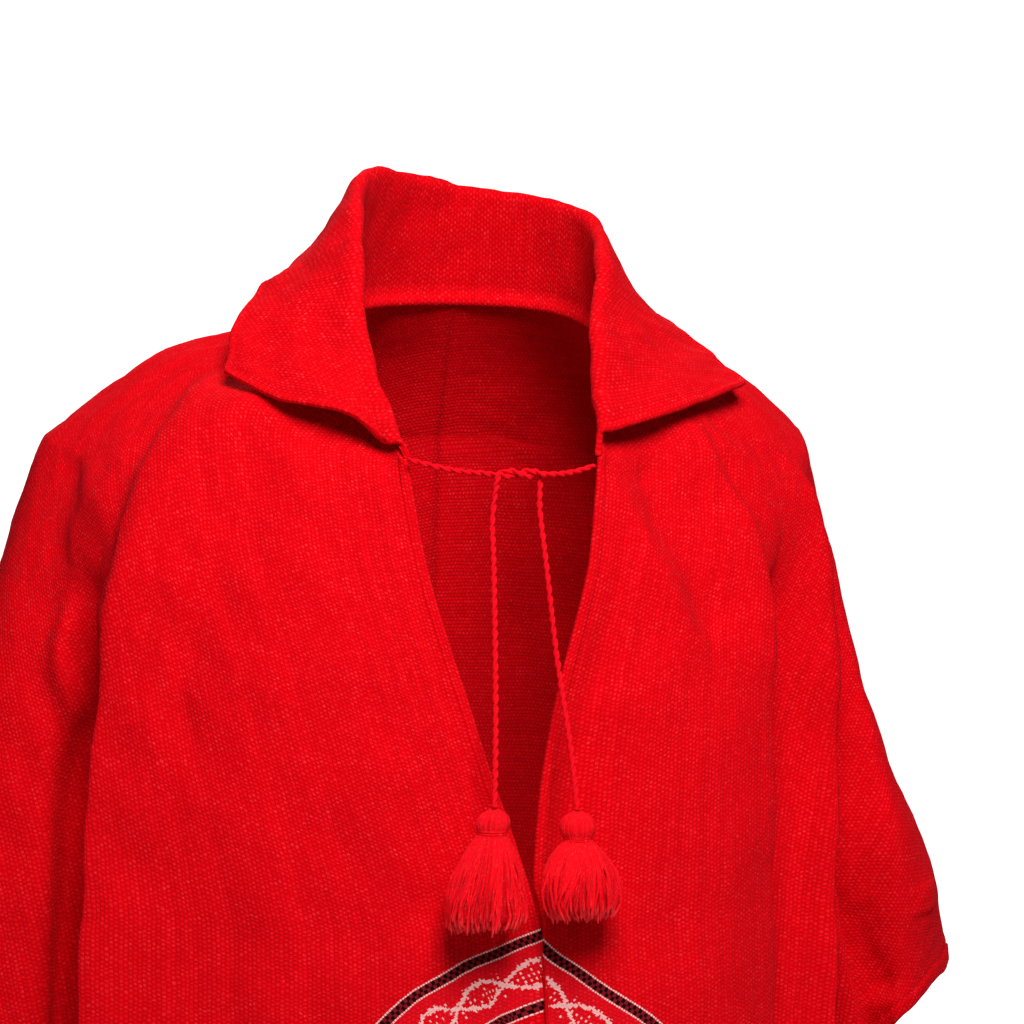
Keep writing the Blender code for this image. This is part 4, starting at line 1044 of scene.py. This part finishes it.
    # the seams are closed edge to edge, drawn in a little along the stitches
    seam_front = (1 - smoothstep(SLIT_END_Z - 0.002, SLIT_END_Z + 0.004, z))
    groove = 0.0007 * np.maximum(np.exp(-(ds / 0.0013) ** 2) * seam_front, np.exp(-(db / 0.0016) ** 2))
    near = np.minimum(np.minimum(ds + 0.01 * seam_front, dh), 1.0)
    full = 0.0014
    round_off = np.sqrt(np.clip(1 - (1 - np.minimum(near, full) / full) ** 2, 0, 1)) * 0.78 + 0.22
    mid = (half_out - half_in) / 2 - groove
    half = (half_out + half_in) / 2 * round_off
    outer = centre + outward * (mid + half)[..., None]
    inner = centre + outward * (mid - half)[..., None]
    for row in (0, -1):
        for face in (outer, inner):
            closed = (z[row] <= SLIT_END_Z) if row == 0 else np.ones(nv, bool)
            face[row, closed, 0] = side * 0.00002
    verts = np.concatenate([outer.reshape(-1, 3), inner.reshape(-1, 3)])
    faces = sheet_faces(nu, nv)
    if signed_volume(verts, faces) < 0:
        faces = faces[:, ::-1]
    cloth = np.concatenate([flat.reshape(-1, 2)] * 2)
    places = {"cloth": cloth, "edge": np.concatenate([np.stack([ds, dh], -1).reshape(-1, 2)] * 2)}
    places["band"] = np.concatenate([band_places(grid, flat, facing, band).reshape(-1, 2)] * 2)
    obj = add_mesh(name + "_look", verts, faces, [mat], places)
    area = quad_area(outer)
    print(f"{name}: {2 * len(faces)} triangles, one face {area:.3f} m2, flat box {np.ptp(flat.reshape(-1, 2), axis=0)}")
    return obj, grid, flat


def quad_area(grid):
    a, b, c, d = grid[:-1, :-1], grid[1:, :-1], grid[1:, 1:], grid[:-1, 1:]
    return float(0.5 * (np.linalg.norm(np.cross(b - a, c - a), axis=-1) + np.linalg.norm(np.cross(c - a, d - a), axis=-1)).sum())


def panel_surface_steps(front, neck, down, steps):
    """panel_surface with its own number of columns in each gap."""
    rows, soft, degrees = meridians(front, neck)
    side = np.sign(front[-1][4])
    turn = np.ones((STATIONS, len(rows)))
    turn[2] = SHOULDER_TURN_FRONT + (SHOULDER_TURN_ARM - SHOULDER_TURN_FRONT) * smoothstep(60, 88, degrees)
    lines = through(rows.transpose(1, 0, 2), turn, down)
    level = np.concatenate([np.arange(n) / n + i for i, n in enumerate(down)] + [[float(len(down))]])
    fade = smoothstep(0.35, 1.7, level)[None, :]
    softs = 1 + (soft[:, None] - 1) * fade
    first = np.zeros((len(lines), 3))
    first[:, 0] = side
    grid = through(lines.transpose(1, 0, 2), softs, steps, first=first * 0.9, last=first * -1.0)
    edge = grid[0, :, 0]
    closed = grid[0, :, 2] <= SLIT_END_Z
    edge[closed] = side * SEAM_GAP / 2
    edge[~closed] = side * np.maximum(side * edge[~closed], SEAM_GAP / 2)
    grid[0, :, 0] = edge
    grid[-1, :, 0] = side * SEAM_GAP / 2
    return grid


FLAT_DOWN = (3, 4, 5, 4, 7, 7)
FLAT_ACROSS = 4


def flat_of(front, neck, rho, lam, side):
    """Each point's place on the uncut cloth: U across it and V along it, from the front hem over the shoulder to the back hem."""
    gaps = len(front) + len(BACK) - 1
    coarse = panel_surface_steps(front, neck, FLAT_DOWN, [FLAT_ACROSS] * gaps)
    degrees = meridians(front, neck)[2]
    turn = np.interp(degrees, [0, 20, 50, 75, 90, 98, 113, 131, 180], [0, 14, 40, 62, 80, 92, 112, 148, 180])
    angles = np.radians(np.interp(np.linspace(0, gaps, coarse.shape[0]), np.arange(gaps + 1), turn)) * side
    flat = flatten(coarse, angles, 0.06, 180)
    cum = np.concatenate([[0], np.cumsum(FLAT_DOWN)])
    return blend_grid(flat, rho * FLAT_ACROSS, np.interp(lam, np.arange(len(cum)), cum))


def band_places(grid, flat, facing, band):
    """(s, t) of each point on the flat cloth: along the band's centre line and across it, towards the hem."""
    x, z = grid[..., 0].ravel(), grid[..., 2].ravel()
    front = (facing.ravel() < -0.3) & (grid[..., 1].ravel() < -0.08)
    fx, fz, ff = x[front], z[front], flat.reshape(-1, 2)[front]
    line = []
    for bx, bz in band:
        d = np.hypot(fx - bx, fz - bz)
        near = np.argsort(d)[:24]
        w = 1 / (d[near] + 0.002) ** 2
        a = np.stack([np.ones(24), fx[near] - bx, fz[near] - bz], 1)
        sol = np.linalg.lstsq(a * w[:, None], ff[near] * w[:, None], rcond=None)[0]
        line.append(sol[0])
    line = np.array(line)
    fine = through(np.concatenate([line, np.zeros((len(line), 1))], 1), np.ones(len(line)), [12] * (len(line) - 1))[:, :2]
    seg = np.diff(fine, axis=0)
    size = np.linalg.norm(seg, axis=1)
    run = np.concatenate([[0], np.cumsum(size)])
    p = flat.reshape(-1, 2)
    best = np.full(len(p), 1e9)
    s = np.zeros(len(p))
    t = np.zeros(len(p))
    inward = 1.0 if np.cross(np.append(seg[0], 0), [0, 0, 1])[1] > 0 else -1.0
    for i in range(len(seg)):
        d = seg[i] / size[i]
        rel = p - fine[i]
        along = rel @ d
        if i == 0:
            along = np.minimum(along, size[i])
        elif i == len(seg) - 1:
            along = np.maximum(along, 0)
        else:
            along = np.clip(along, 0, size[i])
        off = rel - along[:, None] * d
        dist = np.linalg.norm(off, axis=1)
        cross = d[0] * off[:, 1] - d[1] * off[:, 0]
        closer = dist < best
        best = np.where(closer, dist, best)
        s = np.where(closer, run[i] + along, s)
        t = np.where(closer, np.sign(cross) * dist, t)
    # t grows towards the middle of the front
    probe = np.argmin(np.hypot(x - 0.0, z + 0.45) + (~front) * 9)
    if t[probe] < 0:
        t = -t
    far = (np.abs(x) > 0.135) | (facing.ravel() > -0.15) | (grid[..., 1].ravel() > -0.03)
    s[far], t[far] = 0.0, -0.2
    return np.stack([s, t], -1)


cloth_right = cloth_material("red cloth, right panel", 11.0, bands=True)
cloth_left = cloth_material("red cloth, left panel", 23.0, bands=True)
look_right, grid_right, flat_right = panel("panel_wearer_right", FRONT_RIGHT, NECK_RIGHT, cloth_right, 31, BAND_RIGHT)
look_left, grid_left, flat_left = panel("panel_wearer_left", FRONT_LEFT, NECK_LEFT, cloth_left, 57, BAND_LEFT)


# ------------------------------------------------------------------ collar
def collar_seam(steps):
    count = steps * (len(COLLAR) - 1) + 1
    degrees = np.interp(np.linspace(0, len(COLLAR) - 1, count), np.arange(len(COLLAR)), COLLAR_DEG)
    seam = [neck_point(NECK_RIGHT, d) if d <= 180 else neck_point(NECK_LEFT, 360 - d) for d in degrees]
    return np.array(seam) + np.array([0, 0, COLLAR_LIFT])


def collar_surface(steps, across):
    """(round the neck, across the strip, 3) middle face of the collar."""
    seam = collar_seam(steps)
    roll = np.array([r[1:4] for r in COLLAR])
    edge = np.array([r[4:7] for r in COLLAR])
    belly = np.array([r[7] for r in COLLAR])
    ones = np.ones(len(COLLAR))
    n = [steps] * (len(COLLAR) - 1)
    roll, edge = (through(p, ones, n) for p in (roll, edge))
    belly = np.interp(np.linspace(0, len(COLLAR) - 1, len(seam)), np.arange(len(COLLAR)), belly)
    out = []
    for s, r, e, b, along in zip(seam, roll, edge, belly, np.gradient(roll, axis=0)):
        away = np.cross(along, r - s)
        away *= np.sign(away @ (e - s)) / np.linalg.norm(away)
        stand = np.linalg.norm(r - s)
        radius = min(ROLL_R, 0.45 * stand)
        up = (r - s) / stand
        top = r - up * radius
        over = r + away * radius * 1.2
        down = e - over
        down_unit = down / np.linalg.norm(down)
        bow = np.cross(np.cross(down_unit, [0, 0, 1.0]), down_unit)
        bow = bow / (np.linalg.norm(bow) + 1e-9)
        start = over + down_unit * radius * 0.8
        line = [s + (top - s) * k / across[0] for k in range(across[0])]
        for k in range(across[1]):
            t = k / across[1]
            line.append((1 - t) ** 3 * top + 3 * (1 - t) ** 2 * t * (top + up * radius * 1.3)
                        + 3 * (1 - t) * t**2 * (start - down_unit * radius * 1.3) + t**3 * start)
        for k in range(across[2] + 1):
            t = k / across[2]
            line.append(start + (e - start) * t + bow * b * 4 * t * (1 - t))
        out.append(line)
    return np.array(out)


def make_collar(mat):
    mid = collar_surface(18, (8, 10, 26))
    along = arc(mid, 0)
    from_right, from_left = along[:, 22], along[::-1][:, 22][::-1]
    from_left = (along[-1, 22] - along[:, 22])
    # the two front edges of the fall stand off the cloth and sag
    share = np.clip((np.arange(45) - 18) / 26.0, 0, 1)
    sag_right = np.interp(share, [0, 0.1, 0.21, 0.33, 0.5, 0.67, 0.85, 1], [0, 0.0034, 0.0042, 0.0036, 0.0004, -0.0032, -0.0020, 0])
    sag_left = np.interp(share, [0, 0.25, 0.5, 0.75, 1], [0, -0.0012, -0.0018, -0.0010, 0])
    off = np.sin(math.pi * share) ** 0.8
    for sag, reach, stand_off, gap in ((sag_right, 0.050, 0.0095, from_right), (sag_left, 0.050, 0.0075, from_left)):
        fade = smoothstep(reach, 0.0, gap)[:, None]
        mid[..., 2] += fade * sag[None, :]
        mid[..., 1] -= fade * (stand_off * off)[None, :]
    # the stand's base goes down inside the neck edge, where it is sewn
    base = collar_seam(18)
    inward = np.array([-0.003, -0.012]) - base[:, :2]
    inward /= np.linalg.norm(inward, axis=1, keepdims=True)
    from_end = np.minimum(from_right, from_left)
    tuck = smoothstep(0.004, 0.022, from_end)[:, None]
    levels = []
    for down, into in ((0.0042, 0.0019), (0.0022, 0.0019), (0.0004, 0.0017)):
        low = base.copy()
        low[:, :2] += inward * into * tuck
        low[:, 2] -= (down + 0.0012) * tuck[:, 0]
        levels.append(low)
    gone = np.linalg.norm(levels[0] - base, axis=1) < 1e-5
    for k, low in enumerate(levels):
        low[gone, 2] -= 0.0003 * (3 - k)
    mid = np.concatenate([np.stack(levels, 1), mid], 1)
    # finer columns at the two ends and the outer edge
    rho = np.repeat(np.linspace(0, 1, mid.shape[0])[:, None], mid.shape[1], 1)
    lam = np.repeat(np.linspace(0, 1, mid.shape[1])[None, :], mid.shape[0], 0)
    ends = [0.0, 0.0005, 0.0012, 0.0022, 0.0030, 0.0036, 0.0044]
    sample = lambda end: np.concatenate([ends, np.linspace(ends[-1], end, 13)[1:]])
    mid, rho, lam = resample_rows(mid, rho, lam, 0, 18, sample)
    mid, rho, lam = mid[::-1], rho[::-1], lam[::-1]
    mid, rho, lam = resample_rows(mid, rho, lam, 0, 18, sample)
    mid, rho, lam = mid[::-1], rho[::-1], lam[::-1]
    mid, rho, lam = mid[:, ::-1], rho[:, ::-1], lam[:, ::-1]
    mid, rho, lam = resample_rows(mid, rho, lam, 1, 26, lambda end: np.concatenate([ends, np.linspace(ends[-1], end, 25)[1:]]))
    mid, rho, lam = mid[:, ::-1].copy(), rho[:, ::-1], lam[:, ::-1]
    nu, nv = mid.shape[:2]
    normal = grid_normals(mid)
    # the strip is cut straight, so it stretches towards its outer edge
    half = nv // 2
    line_u = np.concatenate([[0], np.cumsum(np.linalg.norm(np.diff(mid[:, half], axis=0), axis=1))])
    u = np.repeat(line_u[:, None], nv, 1)
    v = arc(mid, 1)
    de = np.minimum(arc(mid, 0), arc(mid[::-1], 0)[::-1])
    dl = arc(mid[:, ::-1], 1)[:, ::-1]
    near = np.minimum(de, dl)
    free = smoothstep(0.006, 0.020, v)
    lift = 0.0005 * smoothstep(0.0036, 0.0026, near) - 0.0004 * np.exp(-((near - 0.0040) / 0.0006) ** 2)
    bend = free * (0.0006 * waves(u, v, 71, 7, 0.02, 0.07) + 0.0002 * waves(u, v, 72, 8, 0.008, 0.016))
    out_dir = mid[:, -1] - mid[:, -4]
    out_dir /= np.linalg.norm(out_dir, axis=1, keepdims=True)
    ripple = smoothstep(0.025, 0.0, dl)[..., None] * (0.0006 * waves(u[:, -1], v[:, -1] * 0, 73, 6, 0.020, 0.07))[:, None, None]
    centre = mid + normal * bend[..., None] + ripple * out_dir[:, None, :]
    full = 0.0013
    round_off = np.sqrt(np.clip(1 - (1 - np.minimum(near, full) / full) ** 2, 0, 1)) * 0.78 + 0.22
    thick = (COLLAR_T / 2 + lift) * round_off
    one, two = centre + normal * thick[..., None], centre - normal * thick[..., None]
    verts = np.concatenate([one.reshape(-1, 3), two.reshape(-1, 3)])
    faces = sheet_faces(nu, nv)
    if signed_volume(verts, faces) < 0:
        faces = faces[:, ::-1]
    places = {"cloth": np.concatenate([np.stack([u, v], -1).reshape(-1, 2)] * 2),
              "edge": np.concatenate([np.stack([de, dl], -1).reshape(-1, 2)] * 2)}
    print(f"collar: {2 * len(faces)} triangles, one face {quad_area(one):.4f} m2, strip {line_u[-1]:.3f} x {v.mean(0)[-1]:.3f}")
    return add_mesh("collar_look", verts, faces, [mat], places)


collar_cloth = cloth_material("red cloth, collar", 41.0, pitch=0.00185, row=0.0027)
look_collar = make_collar(collar_cloth)

# ------------------------------------------------------------------ stage and light
def stage_material():
    g = Graph("white paper")
    u, v = g.uv("paper")
    grain = g.noise(g.place(u, v, 0.0), 0.05, 3.0)
    shader = g.node("ShaderNodeBsdfPrincipled")
    out = g.node("ShaderNodeOutputMaterial")
    g.put(shader.inputs["Base Color"], g.mix(grain, (0.73, 0.73, 0.73), (0.76, 0.76, 0.76)))
    shader.inputs["Roughness"].default_value = 1.0
    shader.inputs["Specular IOR Level"].default_value = 0.0
    shader.inputs["Emission Color"].default_value = (1.0, 1.0, 1.0, 1.0)
    # the paper behind the garment is lit on its own
    glow = g.mul(g.step(g.math("ABSOLUTE", u), 1.55, 1.12), g.mul(g.step(v, 1.7, 2.15), g.step(v, 9.9, 9.3)))
    g.put(shader.inputs["Emission Strength"], g.mul(glow, 1.0))
    g.tree.links.new(shader.outputs[0], out.inputs[0])
    return g.mat


def make_stage():
    """A floor that sweeps up into a wall behind."""
    floor, back, high, bend = -0.80, 7.0, 5.0, 1.2
    profile = [(y, floor) for y in np.concatenate([[-7.0, -3.0], np.arange(-1.0, back - bend, 0.4), [back - bend]])]
    profile += [(back - bend + bend * math.sin(a), floor + bend - bend * math.cos(a)) for a in np.linspace(0.1, math.pi / 2, 16)]
    profile += [(back, high)]
    xs = np.linspace(-7.0, 7.0, 15)
    verts = [(x, y, z) for y, z in profile for x in xs]
    n = len(xs)
    faces = [(i * n + j, i * n + j + 1, (i + 1) * n + j + 1, (i + 1) * n + j) for i in range(len(profile) - 1) for j in range(n - 1)]
    # across and along a strip that widens towards the wall
    uv = [((x + 0.31 - 0.238 * (y + 1.418)) / (0.183 * max(y + 1.418, 0.5)), y + z - floor) for x, y, z in verts]
    return add_mesh("stage", verts, faces, [stage_material()], {"paper": uv})


stage = make_stage()

world = bpy.data.worlds.new("studio")
world.use_nodes = True
world.node_tree.nodes["Background"].inputs["Color"].default_value = (1.0, 1.0, 1.0, 1.0)
world.node_tree.nodes["Background"].inputs["Strength"].default_value = 0.035
bpy.context.scene.world = world


def area_light(name, at, aim, size, power):
    data = bpy.data.lights.new(name, "AREA")
    data.shape = "RECTANGLE"
    data.size, data.size_y = size
    data.energy = power
    obj = bpy.data.objects.new(name, data)
    obj.location = at
    obj.rotation_euler = (Vector(aim) - Vector(at)).to_track_quat("-Z", "Y").to_euler()
    bpy.context.scene.collection.objects.link(obj)
    return obj


area_light("key", (-0.01, -1.12, 1.02), (0.0, 0.0, -0.12), (0.75, 0.75), 33.0)
area_light("behind", (0.25, 2.3, 1.75), (0.0, 0.1, -0.20), (1.3, 1.3), 48.0)

# ------------------------------------------------------------------ each look on the root body, its frame part hidden
for piece, node in ((look_right, "panel_wearer_right"), (look_left, "panel_wearer_left"), (look_collar, "collar"),
                    (cord_right, "tie_cord_right"), (cord_left, "tie_cord_left"),
                    (tassel_right, "tassel_right"), (tassel_left, "tassel_left")):
    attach(piece, "root")
    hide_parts(node)
